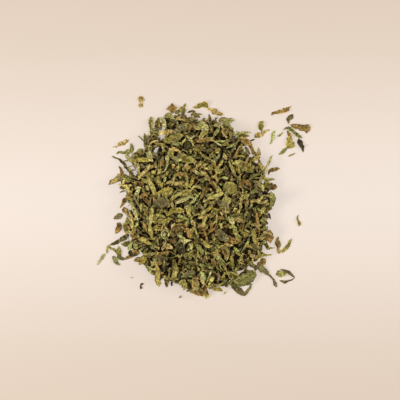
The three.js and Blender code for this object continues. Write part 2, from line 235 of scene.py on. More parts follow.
# Strays and flakes that stand out, traced along their ribs: how light the colour is, and then stations,
# each with its x, its y and how far the blade reaches from the rib to both sides, or to the left and
# to the right
TRACED = {
    "stray_tan_shard": (0.5, "-27.4 46.4 .9 1.1, -27.3 47.6 1.2, -27.2 49 .5 .6, -27.4 50.2 1.2 1, "
        "-27.4 51.2 1.6 1.5, -27.6 52.2 1.2 .9"),
    "stray_brown_leaf": (0.7, "38 42.4 .3, 38.4 43.3 .6, 40.5 44 .7, 42.5 44.6 .9 1.1, 44.6 45.3 1.1 1.2, "
        "46.1 46 .7 1, 47 46.7 .25, 48.2 47.5 .2"),
    "stray_dark_shard": (0.9, "46.3 38.2 .3, 46.4 39.5 .6 .7, 46.5 40.4 1.6 .8, 47.1 41.4 1.1 1.2, "
        "48 42.4 .9 1, 48.7 43.2 .4 .3"),
    "stray_long_brown_leaf": (0.45, "47.1 38 .2 .3, 48.6 37.5 .9 1, 50.5 37 1.3 1.2, 52.6 36.5 1.3, "
        "54.6 36.1 1.5 1.6, 56.2 35.8 2 1.9, 57.3 35.6 1.3 1.4"),
    "stray_folded_leaf": (0.35, "43.9 35.2 .35, 45 36.1 .6, 46.4 36.2 .8 .9, 47.8 35.3 1 .9, "
        "49.3 34.1 .8 .9, 50.9 32.7 .8 1, 52.2 31.9 .7 .8, 53.5 31.2 .2"),
    "stray_olive_shard": (0.25, "46.6 32.2 1.2 1.1, 46.8 30.5 1.6, 47 28.9 2 2.1, 47.3 27.4 2.3, "
        "47.5 26.1 2.5 1.9"),
    "stray_dark_leaf": (0.25, "51.4 31.1 .5 .6, 51.8 29.7 1.2, 52.4 28.2 1.3, 53.1 26.7 1.1 .7, "
        "53.6 25.4 .6, 53.9 24.2 .3"),
    "stray_short_sliver": (0.5, "41.6 23.1 .4, 42.7 23.9 .7 .9, 44 24.9 .9, 45 25.8 .5 .6, 46.2 27 .4"),
    "stray_wisp": (0.7, "46.4 22.1 .3, 47.4 22.6 .4, 48.6 23.2 .3, 49.8 23.9 .15"),
    "stray_lime_sliver": (0.9, "37.2 28.1 .3, 38 30.2 .5 .6, 38.6 32.2 .9 1, 39.1 33.8 .7 .6, "
        "39.8 35.6 .2"),
    "stray_twisted_bit": (0.6, "40.8 32.4 .2, 41.9 32.5 .5, 42.8 33.2 .35 .4, 43.7 34.4 .15"),
    "stray_green_shard": (0.25, "33.1 34.8 .4, 32.9 36 1.3 .6, 32.8 37.3 1.6 1.3, 32.7 38.5 1.1 1.2, "
        "32.6 39.7 .7 1.6"),
    "stray_tan_leaf": (0.55, "29.3 31.4 .3 .4, 30.4 32.3 1.3 1.4, 31.8 32.7 1.5, 33.2 33.3 1 .9, "
        "34.5 34.4 .8 .7, 35.8 35.2 .6, 37 35.2 .2"),
    "stray_long_sliver": (0.5, "38.4 22.5 .3 .6, 37.3 21 .6 .5, 36.7 19.3 .8 .7, 35.8 17.7 .5 .6, "
        "35.1 16.3 .4 .5, 34.8 14.9 .7 .4, 34.2 13.4 .3 .4, 33.6 12.2 .15"),
    "stray_red_leaf": (0.75, "36.5 12.9 .4, 36.8 14.2 .8 .5, 37.9 15.2 1 .9, 39.4 15.5 1.1 1.3, "
        "40.8 15.9 .8 .9, 42.2 15.9 .3"),
    "stray_ochre_bit": (0.3, "51.3 -7.2 .35, 50.8 -8.8 .4, 51.2 -10.2 .5, 51.8 -11.6 1 .8, "
        "51.7 -12.8 .5"),
    "stray_upright_leaf": (0.75, "41.5 -17.9 .3, 40.9 -19.4 1 .9, 40.8 -20.8 1.3 1.1, 41.2 -22.4 1.2 1, "
        "41.3 -24 .7 .8, 41.4 -25.4 .5 .6, 41.4 -26.5 .5 .4"),
    "stray_olive_sliver": (0.3, "41.5 -26.3 .5 .4, 43 -25.3 .7 .8, 44.6 -24.4 .8, 46 -22.8 .8 1, "
        "46.9 -21 .8 .7, 47.9 -18.9 .3"),
    "stray_green_disc": (0.75, "40.1 -36.9 .6 .5, 41.2 -36.7 1.5 1.4, 42.6 -36.6 1.7 1.9, "
        "44.1 -36.2 1.2 1.4, 45.6 -35.9 .5 .4"),
    "stray_rolled_sliver": (0.9, "42.2 -34.2 .35, 44 -34.8 .45, 45.8 -35.3 .6, 47.2 -36.3 .8, "
        "48.4 -37.5 .5 .6, 49.5 -38.4 .2"),
    "stray_dark_sliver": (0.5, "42 -40 .3 .4, 43.4 -40.3 .5, 44.6 -40.5 .6 .9, 46.2 -40.2 .5 .4, "
        "48 -39.6 .3, 49.6 -38.5 .15"),
    "stray_left_leaf": (0.5, "-39 27.1 .3 .4, -37.8 28 1.1 .9, -36.4 28.7 1.2, -34.9 29.5 .9 1, "
        "-33.3 30.3 .5"),
    "stray_left_sliver": (0.5, "-49.3 -32.2 .4, -48.1 -30.5 .6, -46.9 -28.8 .8, -45.9 -27.4 .7, "
        "-45 -26.5 .3"),
    "stray_left_dark_leaf": (0.85, "-41.3 -27.7 .6 .5, -40.6 -29 1 1.2, -39.8 -30.3 1.1, "
        "-38.8 -31.4 .6 .7, -37.7 -32.3 .4 .3"),
    "stray_small_bit": (0.2, "-26 -41.4 .3, -27 -41.9 .4 .6, -27.5 -42.8 .4, -27.3 -43.6 .7 .5, "
        "-27.3 -44.3 .4"),
    "top_left_curved": (1, "-41.9 22.3 .4 .3, -40.6 21.6 .35, -39 21 .35, -37.4 20 .6, -36 18.6 .7, "
        "-35 17.1 .7, -34.2 15.4 .6"),
    "top_left_rim_tan": (0.25, "-43.6 7.9 .2, -42.2 8.9 1.2 .9, -40.6 9.7 1.1 1.4, -39.2 11 1.3 1.6, "
        "-38 12.6 1 1.2, -37 13.8 .4"),
    "top_left_rim_brown": (0.7, "-40.3 -16.5 .5 .4, -38.9 -15.2 1.2 1, -38.2 -13.6 1.6 1.4, "
        "-38.4 -12.1 1.3 1.2, -39.3 -11 .4"),
    "top_edge_brown": (0.6, "36.9 -14.5 .9 .8, 36.8 -16 1.4 1.8, 36.9 -17.8 1.8 2, 37 -19.4 1.8 1.6, "
        "37.4 -21.3 .4"),
    "top_rim_brown": (0.25, "6.1 46 .5 .6, 7.6 45.4 .9 1.1, 9.2 44.6 1.6 1.5, 10.8 43.8 1 1.3, "
        "12.4 43.4 .9, 13.8 43 .5 .6"),
    "top_rim_pale": (0.35, "11.4 39.6 .2 .3, 13 40.3 1.4 1.2, 14.8 39.9 1.4 1.6, 16.6 39.7 1.2 1.4, "
        "18.2 40.2 1.2 1, 19.5 40 .3 .4"),
    "top_foot_yellow": (0.5, "-19.2 -31.3 .6, -18.9 -33.4 1.4 1.2, -18.6 -36 1.3, -18.6 -38.6 1.4 1.5, "
        "-18.4 -41 1.5, -17.8 -42.9 .6 .5"),
    "top_foot_dark": (0.75, "17.6 -43 .5 .4, 19.6 -43.8 1.3 1.1, 21.6 -45.1 1.6 1.3, 23.4 -46.4 1.2 1.1, "
        "24.9 -47.7 .2"),
    "top_tan_leaf": (0.6, "-31.2 -14.8 .2, -31.4 -12.6 .8, -31.8 -10.4 1.2 1.1, -32.2 -8 .9, "
        "-32.6 -5.4 .3"),
    "top_big_green": (0.4, "18.8 -39.6 .8 1.2, 21 -39.3 1.9 2.4, 23.6 -38.9 2.6 3.1, 26.2 -38.3 2.8 3.2, "
        "28.6 -37.5 2.4 2.2, 30.4 -37 1"),
    "top_grey_leaf": (0.6, "-11 33 .7, -9.2 34.4 1.7 1.5, -7.4 35.6 1.8 1.6, -5.4 36.2 .7"),
    "top_pale_leaf": (0.05, "-1 36.4 .4 .6, 1 36.8 1.6 1.9, 3.2 36.8 2.2, 5 36 1.6, 6.4 34.9 .5"),
    "top_round_olive": (0.2, "-8 20.4 .8, -6.2 20.8 1.6 1.9, -4.2 20.4 1.8 2.1, -2.2 19.8 1.4 1.6, "
        "-.6 19 .4"),
    "top_round_dull": (0.25, "13.2 6.2 1 .9, 15 6.4 2.4, 17 6.2 2.7 2.8, 19 5.8 2, 20.5 5.4 .8"),
    "top_round_dark": (0.15, "-20 -.4 .6, -18.2 -.4 1.6 1.8, -16.2 -.8 2.2, -14.2 -1.6 2 1.6, "
        "-12.6 -2.4 .6"),
    "top_yellow_leaf": (0.2, "-18.8 3.6 .3, -16.6 4.6 .7 .9, -14.4 5.2 1.2 1.8, -12.6 5.2 1.4 2.4, "
        "-11.2 4.8 1.2 1.6"),
    "top_yellow_shard": (0.25, "-13 -5.4 .4, -11.4 -4.8 1.3 1.1, -9.2 -4.6 1.2, -7 -5 1.1 .9, "
        "-5.4 -5.4 .4"),
    "top_curled_pale": (0.5, "-9.8 -1.4 .4, -7.2 -.2 .8 .7, -4.6 1 .9, -2.2 2 .9 .8, -.4 1.2 .3"),
    "top_long_green": (0.65, "-24 12 .4, -22.8 10 .8, -21.6 7.8 1 1.1, -20.6 5.6 1.1, -19.6 3.6 .5"),
    "top_broad_green": (0.3, "18 18 .6 .5, 20.4 18.4 1.2 1, 22.8 17.8 2.2 1.4, 25 16.4 2.4, "
        "27 15.2 1.8 1.6, 28.6 14.4 .5"),
    "top_pale_sliver": (0.25, "-13.6 22.8 .5, -13.8 21.2 1.2 1.1, -13.8 19.4 .7, -14 17.2 .5, "
        "-14.8 15.2 .4, -15.6 14 .2"),
    "top_long_yellow": (0.4, "-31.8 19.2 .3, -29.4 20 .9, -26.4 20.2 1, -23.6 20.2 1 .9, -21.6 20.4 .4"),
    "top_upright_green": (0.9, "-21.3 -3 .4, -21.4 -5.4 .9, -21.6 -7.8 .9, -22 -10.2 .7, -22.4 -12.4 .4"),
    "top_brown_curl": (0.25, "-11.2 -17.6 .4, -11.5 -15.4 .7 .8, -10.4 -13.3 .9 .8, -8.4 -12.1 .8, "
        "-5.8 -11.6 .3"),
    "top_tan_shard": (0.3, "2.4 14.6 .5, 3.8 13.4 1.1 1, 5.4 12 1 .9, 7.2 10.6 .3"),
    "top_small_tan": (0.35, "-10.6 7.8 .4, -9 8.3 .9 1, -7.2 8.8 .9 1, -5.4 9.4 .3"),
    "top_red_curl": (0.5, "21.8 6.4 .5, 22.4 8.2 .9 .8, 23.8 9.4 1, 25.6 9 1.2 1.1, 27 7.8 1.1 .9, "
        "27.9 6.4 .5 .4"),
    "top_left_yellow": (0.35, "-28.4 -18.4 .4 .3, -26.8 -18.9 1.3 1.2, -24.8 -19.8 1.5 1.3, -22.8 -21 .9, "
        "-20.6 -21.6 .3"),
    "top_foot_ochre": (0.2, ".6 -37 .6, 0 -38.8 1.7, -.3 -40.8 1.8 1.7, -.6 -42.8 1.2, -1.2 -44.4 .4"),
    "top_right_brown": (1, "22.4 31.6 .5, 23.8 30.2 1.4 1.3, 25.6 29.2 1.6 1.5, 27.2 28.4 1.1 1, "
        "28.4 28 .4"),
    "stalked_leaf": (0.35, "30 -33 .8, 32 -33.6 1.6 1.5, 34 -34.6 1.7, 35.6 -35.9 1 1.2, 36.6 -37.1 .5, "
        "38 -38.4 .45 .5, 39 -39.4 .55 .5, 39.4 -40.6 .7 .6, 39.9 -41.8 1.1 1, 40.6 -43.2 .6"),
}

# Flakes that stand out from the heap's foot: colour, lightness and stations
RIM_FLAKES = [
    ("brown", 0.75, "33.4 7.8 .8, 35.2 7.4 1.5, 37.2 6.9 1.5, 39.2 6.8 1.5, 40.7 6.6 .8"),
    ("yellow", 0.6, "31.5 26.6 .2, 31.6 25 .5, 31.4 23.4 1.2, 30.8 21.8 1.3, 29.8 20.6 .6"),
    ("dark", 0.6, "36.4 -6.2 .6, 37 -7.8 .5, 37.5 -9.3 .2"),
    ("dark", 0.2, "34.6 -10.2 .5, 35.6 -11.2 .6, 36.1 -11.9 .2"),
    ("olive", 0.1, "33.6 -20.2 .7, 34.9 -21.6 1, 36 -23.2 1, 37 -24.5 .5"),
    ("olive", 0.4, "35.6 -23.9 .6, 37.4 -23.7 .5, 39.7 -23.6 .2"),
    ("yellow", 0.75, "32.5 -27.1 .6, 34.4 -27.2 .6, 36.4 -27.2 .4, 38.3 -26.9 .2"),
    ("brown", 0.9, "35 -29 .8, 33.6 -30.5 1.6, 32.2 -32 1.6, 31 -33.4 .6"),
    ("brown", 0.5, "45.9 35 .5, 46.3 33.6 .7, 47.1 32.4 .8, 47.8 31.6 .4"),
    ("brown", 0.55, "-14.7 45.3 .3, -13.2 46 1.2, -11.7 46.1 2.4, -10.3 46.3 1.5, -9.2 46.6 .5"),
    ("olive", 0.5, "-5 48.7 .2, -5.7 47 .9, -6.4 45.6 1.7, -6.5 44 1.1, -6.8 42 .5"),
    ("dark", 0.8, "-4.1 43.8 .2, -2.9 44.5 .5, -1.3 44.7 .7, -.3 43.4 .7, .2 41.4 .9"),
    ("green", 0.7, ".2 43 .4, 1.8 43.2 .4, 3.4 43 .2"),
    ("yellow", 0.3, "-1.7 46.5 .2, .4 46.6 .8, 2.4 47.4 1.3, 4 48 1.7, 5.4 47.3 1, 6.6 46.2 .5"),
    ("pale", 0.3, "-22.2 34.3 .3, -22.1 36.6 1, -22.1 38.8 1.5, -22.1 40.4 1.5, -22.5 41.9 .8"),
    ("brown", 0.7, "-18.4 41.7 .2, -18.9 39.6 1.1, -19.2 37.4 1.6, -19.2 35 1.2"),
    ("green", 0.3, "-28.8 32.3 .2, -27.6 31.4 .3, -26.2 30.2 .4, -25 29 .4"),
    ("yellow", 0.9, "-25.7 33.8 .3, -25.2 31.6 .8, -24.9 29 .9, -24.9 26.4 .5"),
    ("dark", 0.8, "26.8 29.5 .3, 28.3 30.2 .4, 29.7 30.7 .2"),
    ("green", 0.35, "-39.8 23.2 .2, -38.2 24.2 .6, -36 23.9 .6, -34.2 24.2 1.3, -32.2 24.4 1"),
    ("green", 0.25, "-32.3 28.8 .2, -32.1 27 .9, -31.9 25.4 .9, -32 23.4 .4"),
    ("olive", 0.1, "-31.6 21 .5, -30.4 22.4 1.2, -29 23 1.4, -27.8 23.2 .5"),
    ("brown", 0.55, "-38.4 17.2 .3, -37.4 15.6 .7, -36.8 14 .9, -36.2 12.4 .6"),
    ("brown", 0.5, "-38 6.2 .5, -36.6 6.8 1.2, -35 7 1.3, -33.6 6.8 .6"),
    ("brown", 0.55, "-37.8 -3.7 .3, -36.5 -1.6 .7, -35.1 .2 1.2, -33 1.6 1.4, -30.6 2.6 1"),
    ("brown", 0.3, "-36.6 -5.4 .8, -35.4 -4.9 1.4, -34 -4.6 .9"),
    ("grey", 0.45, "-41 -9.1 .3, -39.4 -8.4 1.2, -37.8 -7.6 1.3, -36.5 -6.8 .7"),
    ("dark", 0.6, "-42.8 -22.2 .3, -40.8 -21.4 .8, -38.4 -20.3 .9, -36 -18.6 .6"),
    ("yellow", 0.3, "-44.2 -26.4 .3, -44.2 -24.8 .6, -43.7 -23.2 .7, -43 -22.1 .4"),
    ("olive", 0.35, "-43.4 -23 .4, -42 -24 .5, -40.4 -24.8 .6, -39 -26 .7, -38.2 -27.6 .6"),
    ("olive", 0.4, "-38.4 -22.8 .6, -38.3 -24.6 .9, -38 -26.6 .9, -37.8 -28.4 .8, -36.6 -29.8 .4"),
    ("tan", 0.6, "-31 -30 .8, -28.6 -29.4 1.1, -26.6 -30.2 1.2, -25 -31.6 .8"),
    ("olive", 0.3, "-14.6 -38.4 .9, -14.5 -40.6 1.1, -14.2 -43.3 .4"),
    ("dark", 0.3, "-12 -40.6 .7, -11.9 -42.7 .4"),
    ("dark", 0.3, "-2.6 -44.6 .6, -4.6 -45.3 .3"),
    ("yellow", 0.75, "4.2 -44.6 .9, 5.2 -46.2 1.5, 5.6 -47.8 1.2, 5.3 -49.1 .4"),
    ("green", 0.35, "24.5 -47.5 .4, 25.6 -45.6 .6, 27 -43.8 .6, 27.8 -42 .5"),
    ("tan", 0.5, "27.6 27.4 .6, 28.2 25.4 .9, 28.8 24.2 1, 30.6 23 .6"),
    ("grey", 0.5, "-37.4 -19.4 .4, -36 -18.4 .9, -34.6 -17.4 .8"),
    ("dark", 0.5, "-33.8 -26.2 .8, -32 -26.2 1.6, -30 -26 1.8, -28.2 -26.4 1.2"),
    ("brown", 0.45, "-35.2 -29.4 .4, -34 -28.4 .9, -32.6 -27.8 1, -31.4 -28.4 .4"),
    ("olive", 0.9, "22.8 -36.4 .5, 25 -36 1.2, 27.4 -36 1.4, 29.6 -36.6 1.1, 30.4 -37 .3"),
    ("green", 0, "26.6 -29 .6, 28.4 -29.4 1, 30 -29.4 .9, 31.4 -28.8 .4"),
    ("olive", 0, "27.8 -31.4 .5, 29.2 -32.4 .9, 30.2 -33.6 .9, 29.6 -35 .6"),
    ("pale", 0, "-29.6 24.4 .4, -28.4 24.8 1, -27 25.2 1, -26 25.6 .4"),
    ("yellow", 0.55, "29 -24.8 .8, 31 -25.9 1.7, 33 -27 1.4, 34.6 -27.6 .4"),
    ("grey", 0.1, "22.5 -31.9 .7, 24.5 -31.4 1.4, 26.6 -31 1.4, 28.8 -30.6 .5"),
    ("grey", 0.3, "25.4 -29.6 .6, 27.2 -31.2 1.1, 28.8 -32.8 1, 30.2 -34 .4"),
    ("brown", 1, "17.4 -33 .6, 19.6 -33.5 1.4, 21.8 -34 1.3, 23.8 -34.4 .4"),
    ("green", 0.2, "16 -41.4 .5, 19 -41.8 1.2, 22.5 -41.9 1.3, 26 -41.2 1.2, 28.4 -42 .4"),
    ("grey", 0.6, "-38.5 -20.6 .5, -36.8 -19.4 1.2, -35 -18.2 1.3, -33.4 -16.8 .6"),
    ("olive", 0, "-37.2 -21.6 .5, -35.6 -22 1.3, -34 -21.4 1.4, -32.4 -20.2 .5"),
    ("olive", 0.8, "-10.2 43.4 .5, -9 44.2 1, -7.8 45 .8, -6.6 45.6 .4"),
    ("olive", 0.7, "-2.4 42.8 .5, -.6 43.2 1, 1 42.4 .9, 2.2 41.4 .4"),
    ("pale", 1, "3 40 .4, 4 40.6 .8, 5 41.2 .4"),
    ("pale", 0, "24.6 27 .4, 25.6 25.6 .8, 26.6 24.2 .7, 27.2 23 .3"),
    ("olive", 0.9, "-19 -31.4 .5, -17.6 -31.2 1.1, -16.2 -32.2 1.3, -15.6 -34 .5"),
    ("tan", 0.25, ".4 -43.6 .6, 2.4 -44.8 1.4, 4 -46 1.3, 5 -47.6 .5"),
    ("olive", 0.3, "-35.8 -11.2 .5, -35 -13 1.2, -34.4 -15 1.2, -34.2 -16.6 .5"),
    ("green", 0.2, "-39.4 -28 .4, -38 -28.6 .8, -36.4 -29 .7, -35 -29.2 .3"),
]

# Flakes that show on the heap, traced the same way
TOP_FLAKES = [
    ("green", 0.8, "33.4 10.7 .4, 34.9 10.7 .7, 36.5 10.6 .8, 38.1 10.7 .7, 39.6 10.5 .3"),
    ("tan", 0.6, "31.3 20.4 .5, 32 18.4 1, 32.8 16.6 1.1, 34.3 15 .4"),
    ("green", 0.5, "37 4.6 .6, 37.7 2.6 1.3, 38 .4 1.4, 37.6 -1.8 1.1, 36.4 -3.4 .5"),
    ("dark", 0.5, "6.6 43 .3, 7 41.2 .7, 7.3 39.2 .9, 7.2 37 .7"),
    ("pale", 0.55, "17.3 32.1 .4, 19.4 33 .8, 21.6 33.5 .9, 24 33.9 .7, 26.2 34 .5, 27.9 33.8 .2"),
    ("pale", 0.3, "-17.2 41.5 .6, -16 39.6 1.1, -15.4 37.4 1, -15 35.6 .4"),
    ("olive", 0.4, "-15.4 41.6 .6, -13.9 42.4 1, -12.3 41.9 1.2, -10.9 40.6 .6"),
    ("pale", 0.3, "-35.2 22.8 .4, -33.8 21.6 1.1, -32.6 20.2 1, -31.8 19 .4"),
    ("olive", 0.3, "-37.9 4 .2, -36.5 4.6 .4, -34.9 5 .4"),
    ("pale", 0.3, "-31.6 -1.4 .3, -30.7 -3.8 .8, -29.6 -6.4 .8, -28.4 -9.8 .3"),
    ("brown", 0.4, "-2 -45.2 .7, .4 -46.1 1, 2.8 -47.2 .6"),
    ("yellow", 0.2, "7.6 -43.4 .5, 9.6 -43.9 .8, 11.6 -44.1 1.1, 13.6 -45.1 .3"),
    ("green", 1, "13 37.6 .5, 15 37.4 1.1, 17 36.4 .9, 18.4 35.4 .3"),
    ("olive", 0.2, "21 32.6 .6, 23 32.6 .9, 25 32.4 .9, 27 32.2 .4"),
    ("brown", 0.6, "25.6 30 .6, 26.4 28.4 .9, 27.4 26.8 .8, 28.2 25.4 .4"),
    ("yellow", 0.45, "27.6 19.2 .5, 29 20.4 .9, 30.6 21.4 1, 32.2 22.6 .6"),
    ("green", 0.9, "-24.2 -32.6 .6, -22.8 -34 1.3, -21.4 -35.6 1.3, -20.4 -37 .5"),
    ("olive", 0, "16 -35.6 .6, 18 -37 1.7, 20 -38.2 1.7, 22 -39.4 .6"),
    ("dark", 0.8, "26.3 -21.9 .8, 28.5 -22.8 1.6, 31 -24 1.2, 33 -24.6 .4"),
    ("olive", 0.2, "-15.4 29.2 .6, -13 30.2 1.4, -10.4 31 1.6, -8 31.8 1.4, -6 32.2 .5"),
    ("tan", 0.45, "-18.8 33 .4, -16.6 33.6 .9, -14.2 33.6 1.2, -12.2 34 1.2, -10.5 34.4 .5"),
    ("tan", 0.75, "8.8 37 .5, 10.4 37.6 1, 12 38.4 .9, 13.4 39.4 .3"),
    ("brown", 1, "8.4 33.2 .3, 8 34.6 .7, 7.6 36.2 .5"),
    ("olive", 0.9, "-4.8 32.4 .3, -3.4 31 .5, -2 29.2 .6, -1 27.8 .3"),
    ("pale", 1, "-3 30.4 .3, -1.4 31.2 .4, 0 31.8 .3"),
    ("olive", 1, "-7 27.2 .4, -6.2 29 .6, -4.6 30.2 .5"),
    ("olive", 0.5, "-12.4 25.6 .6, -12 23.6 1.3, -11.6 21.6 .7"),
    ("tan", 0.35, "-13 25.2 .6, -10.6 25.1 .9, -8.6 24.6 .7, -7.2 22.8 .3"),
    ("tan", 0.15, ".6 29 .5, 3 29.2 1.3, 5.6 29.8 1.1, 8 30.2 .7, 9.6 29 .3"),
    ("pale", 0.85, "9.6 29.4 .3, 11 28 .5, 13 27 .4"),
    ("yellow", 0.5, "9.4 24 .4, 10.8 24.6 1.1, 12 25.8 .6"),
    ("brown", 0.75, "-16 20.4 .5, -16.4 18.8 1, -17 17 .5"),
    ("yellow", 0.55, "-18.4 13 .5, -17.6 14.2 1.1, -16.8 15.6 .6"),
    ("tan", 1, "2.4 17 .3, 4.4 16 .5, 6.8 15.2 .3"),
    ("pale", 0.2, "-1.4 14.9 .4, .4 13.8 .6, 2.2 12.8 .5, 4 12 .2"),
    ("tan", 0.15, "8 20 .5, 9 18.4 1.1, 10 17 .4"),
    ("yellow", 0.7, "10.2 15.4 .3, 11.6 17 .8, 12.6 18.6 .7, 12.9 20 .2"),
    ("tan", 0.45, "13.8 23.4 .3, 14.4 21.8 .7, 15.4 20.2 .5"),
    ("yellow", 0.3, "-10.4 15.4 .3, -8.8 16.3 .6, -7.4 17 .3"),
    ("brown", 0.5, "-9.6 12.6 .4, -7.4 12.9 .9, -5 12.4 .8, -3.4 11 .3"),
    ("olive", 0.7, "16.4 19.5 .4, 17.4 17 .7, 18.6 14.6 .6, 19.6 13 .3"),
    ("lime", 0.6, "13 11.6 .3, 14.4 11.2 .8, 15.7 10.8 .4"),
    ("tan", 0.3, "8.6 9.4 .3, 9.6 7.6 .6, 10.8 5.6 .3"),
    ("green", 0.1, "26.6 10.6 .3, 28 11.6 .9, 29.6 12.6 .8, 31 13 .3"),
    ("yellow", 0.2, "27.4 13.8 .4, 28 15.6 .8, 28.8 17.4 .4"),
    ("tan", 0.75, "-28.4 10.4 .3, -26.6 12.6 .8, -24.8 14.6 .8, -23.2 16.6 .7, -22.6 18.4 .3"),
    ("tan", 0.45, "-29 18 .3, -28.4 16.6 .7, -28 15 .5"),
    ("yellow", 0.25, "-19 10.2 .4, -18.2 9 .9, -17 7.6 1, -16.4 6.4 .4"),
    ("tan", 0.4, "-14.4 8.4 .3, -12.8 9 .6, -11.2 9.2 .4"),
    ("pale", 0.8, "-11.6 7 .2, -10.9 9.4 .3, -10.2 12 .2"),
    ("olive", 0.45, "-12 .4 .4, -10.8 1.6 .8, -8.8 2.8 .7, -6.8 4 .6, -4.6 5.2 .3"),
    ("brown", 0.65, "-27.6 .8 .5, -26.2 2.4 .8, -24.2 3.2 .7, -22.8 3.2 .3"),
    ("olive", 0.85, "-26.6 -1.2 .4, -26.8 -3.4 .6, -26.8 -5.4 .3"),
    ("lime", 0.5, "-9 -7.2 .3, -7.2 -7.7 .6, -5.4 -8.6 .7, -3 -9.2 .3"),
    ("olive", 0.4, "-22.6 -11 .5, -22.4 -13.6 1, -21.8 -16.2 1, -21.2 -18.6 .4"),
    ("olive", 0.2, "-20 -9.6 .5, -17.6 -10.2 1, -15 -10.2 1, -13 -9.6 .3"),
    ("brown", 0.7, "-27.2 -10.2 .3, -25.4 -11.4 .6, -24.4 -13.2 .6, -24.2 -15 .3"),
    ("olive", 0.6, "6 1.2 .3, 8 1.6 1.2, 10 2.2 1.2, 12 3 .8, 14 3.8 .2"),
    ("olive", 1, "14.2 3.2 .3, 15.2 1.6 .8, 16.2 0 1.1, 16.4 -1.8 .7"),
    ("grey", 0.5, "10.6 -.6 .6, 12.4 -1.2 1.4, 14.2 -2 1.6, 15.8 -3 .7"),
    ("olive", 0.45, "21.6 .9 .3, 23.4 1.6 1, 25.2 2.4 1, 26.6 3.2 .4"),
    ("green", 0.5, "26.6 3.4 .3, 28 4 .9, 29.6 5.2 .9, 31.2 7 .2"),
    ("tan", 0.2, "26.8 -.6 .4, 28.6 0 1.1, 30.2 .2 .8"),
    ("olive", 0.45, "2 -7.6 .3, 3.6 -6.2 .7, 5 -4.8 .5"),
    ("tan", 0.4, "1.4 -8.8 .3, 3.6 -8 .6, 5.6 -7.4 .6, 7.4 -6.8 .3"),
    ("tan", 0.5, "1 -14 .5, 2.4 -12.8 1.1, 4 -12 1, 5.2 -11.4 .3"),
    ("olive", 0.7, "10.4 -4.8 .3, 10.4 -7.4 .5, 10.3 -10 .5, 10 -12.4 .2"),
    ("pale", 0.55, "16.6 -8 .6, 17.4 -9 1.2, 18 -10.4 1, 18.4 -11.8 .6"),
    ("tan", 0.2, "18.8 -8.8 .6, 20.4 -9.4 1, 22 -9.8 .9, 23.4 -9.6 .3"),
    ("brown", 0.8, "29.4 -4.6 .5, 30.2 -8 .7, 31 -12 .6, 31.4 -15.4 .4, 31 -18.4 .2"),
    ("brown", 0.25, "-9.4 -16.4 .6, -8.6 -14.8 1, -7 -13.6 .6"),
    ("lime", 0.6, "-9.2 -17 .3, -7.8 -17.2 .5, -6.4 -18 .2"),
    ("brown", 0.55, "-4.4 -13 .4, -3.6 -15 .9, -3 -17 1, -2.4 -18.6 .4"),
    ("pale", 0.55, "-6.8 -19.4 .5, -5.4 -19.8 1, -3.8 -19.6 .7, -2.2 -19.4 .1"),
    ("olive", 0.6, "-1.8 -20.4 .4, -2 -22 .8, -2.2 -24.2 .3"),
    ("tan", 1, "-15.8 -20.2 .4, -14.6 -21.6 .9, -13 -22.6 1.1, -11.2 -23.2 .5"),
    ("dark", 0, "-9.6 -20.4 .9, -8.4 -22.4 1.8, -6.8 -24.4 1.7, -5.4 -26.2 .6"),
    ("dark", 0.4, "-19 -27.4 .9, -17.4 -28 1.6, -15.8 -29 1.2, -14.6 -30 .4"),
    ("olive", 0.55, "-26.4 -26.4 .4, -24 -26.6 .6, -21.4 -26.3 .7, -18.4 -25.8 .2"),
    ("olive", 0.95, "-10.8 -28.8 .6, -10.4 -31.4 1.1, -10.2 -34.2 1.6, -10.6 -36.8 1.3, -11.6 -38.4 .5"),
    ("brown", 0, "-7.4 -27.6 .3, -7.6 -29.4 .5, -8 -31 .3"),
    ("yellow", 1, "2.6 -18.4 .4, 3.8 -20.2 .9, 5.4 -21.8 1, 7.2 -22.4 .7, 8.6 -21.8 .2"),
    ("green", 0.5, ".4 -21.4 .5, 1.6 -23 1.1, 3 -24.8 .9, 4 -26.4 .4"),
    ("grey", 0.15, "9.8 -15 .8, 12 -16.4 1.7, 14 -18 1.8, 15.8 -20 .8"),
    ("olive", 0.45, "10.6 -23.6 .4, 13 -22.6 .7, 15 -24 .6, 16.4 -25.8 .3"),
    ("olive", 0.45, "18.8 -13.4 .5, 19.6 -15.4 1, 20.4 -17.6 1, 21.2 -19.6 .4"),
    ("lime", 0.4, "24 -14.4 .2, 25.4 -14.8 .4, 26.8 -15.6 .2"),
    ("olive", 0.4, "28.6 -13.8 .5, 28.8 -15.8 1.2, 28.8 -18 1, 28.6 -20 .4"),
    ("yellow", 0.25, "23.8 -22.8 .4, 25.4 -22.4 .9, 27 -22.6 .8, 28.2 -23 .3"),
    ("lime", 0.1, "18.8 -23 .4, 20 -24.2 .8, 21.4 -24.6 .3"),
    ("tan", 0.2, "26.4 -24.4 .3, 26.8 -26.2 .5, 27.4 -28 .3"),
    ("green", 0.4, "10.8 -26.8 .5, 11.6 -28.6 1.1, 12.8 -30.4 1.5, 13.8 -31.8 .9"),
    ("olive", 0.25, "17.4 -26.6 .5, 17.8 -29 1, 18 -31.6 1.1, 18.4 -34 .7"),
    ("brown", 0.35, "8 -28.6 .6, 9 -30.8 1.1, 9.6 -33 .7"),
    ("lime", 0.95, "2.2 -34.8 .2, 3.4 -36.2 .9, 4.4 -37.8 .9, 5 -39.8 .3"),
    ("lime", 0.5, "-33.2 -25 .3, -32.8 -23.4 .9, -32 -21.8 .9, -31 -20.6 .4"),
    ("lime", 1, "-29.8 -21.2 .3, -29.4 -22.6 .9, -29 -24 .4"),
    ("yellow", 0.95, "-22 14.2 .4, -20.6 14.2 .8, -19.6 13.6 .4"),
    ("pale", 0, "-24.6 7.4 .5, -23.6 6.4 .8, -23 5 .3"),
    ("pale", 0.9, "-15.8 -17.2 .5, -14.8 -16.4 .9, -14 -15.6 .5"),
]

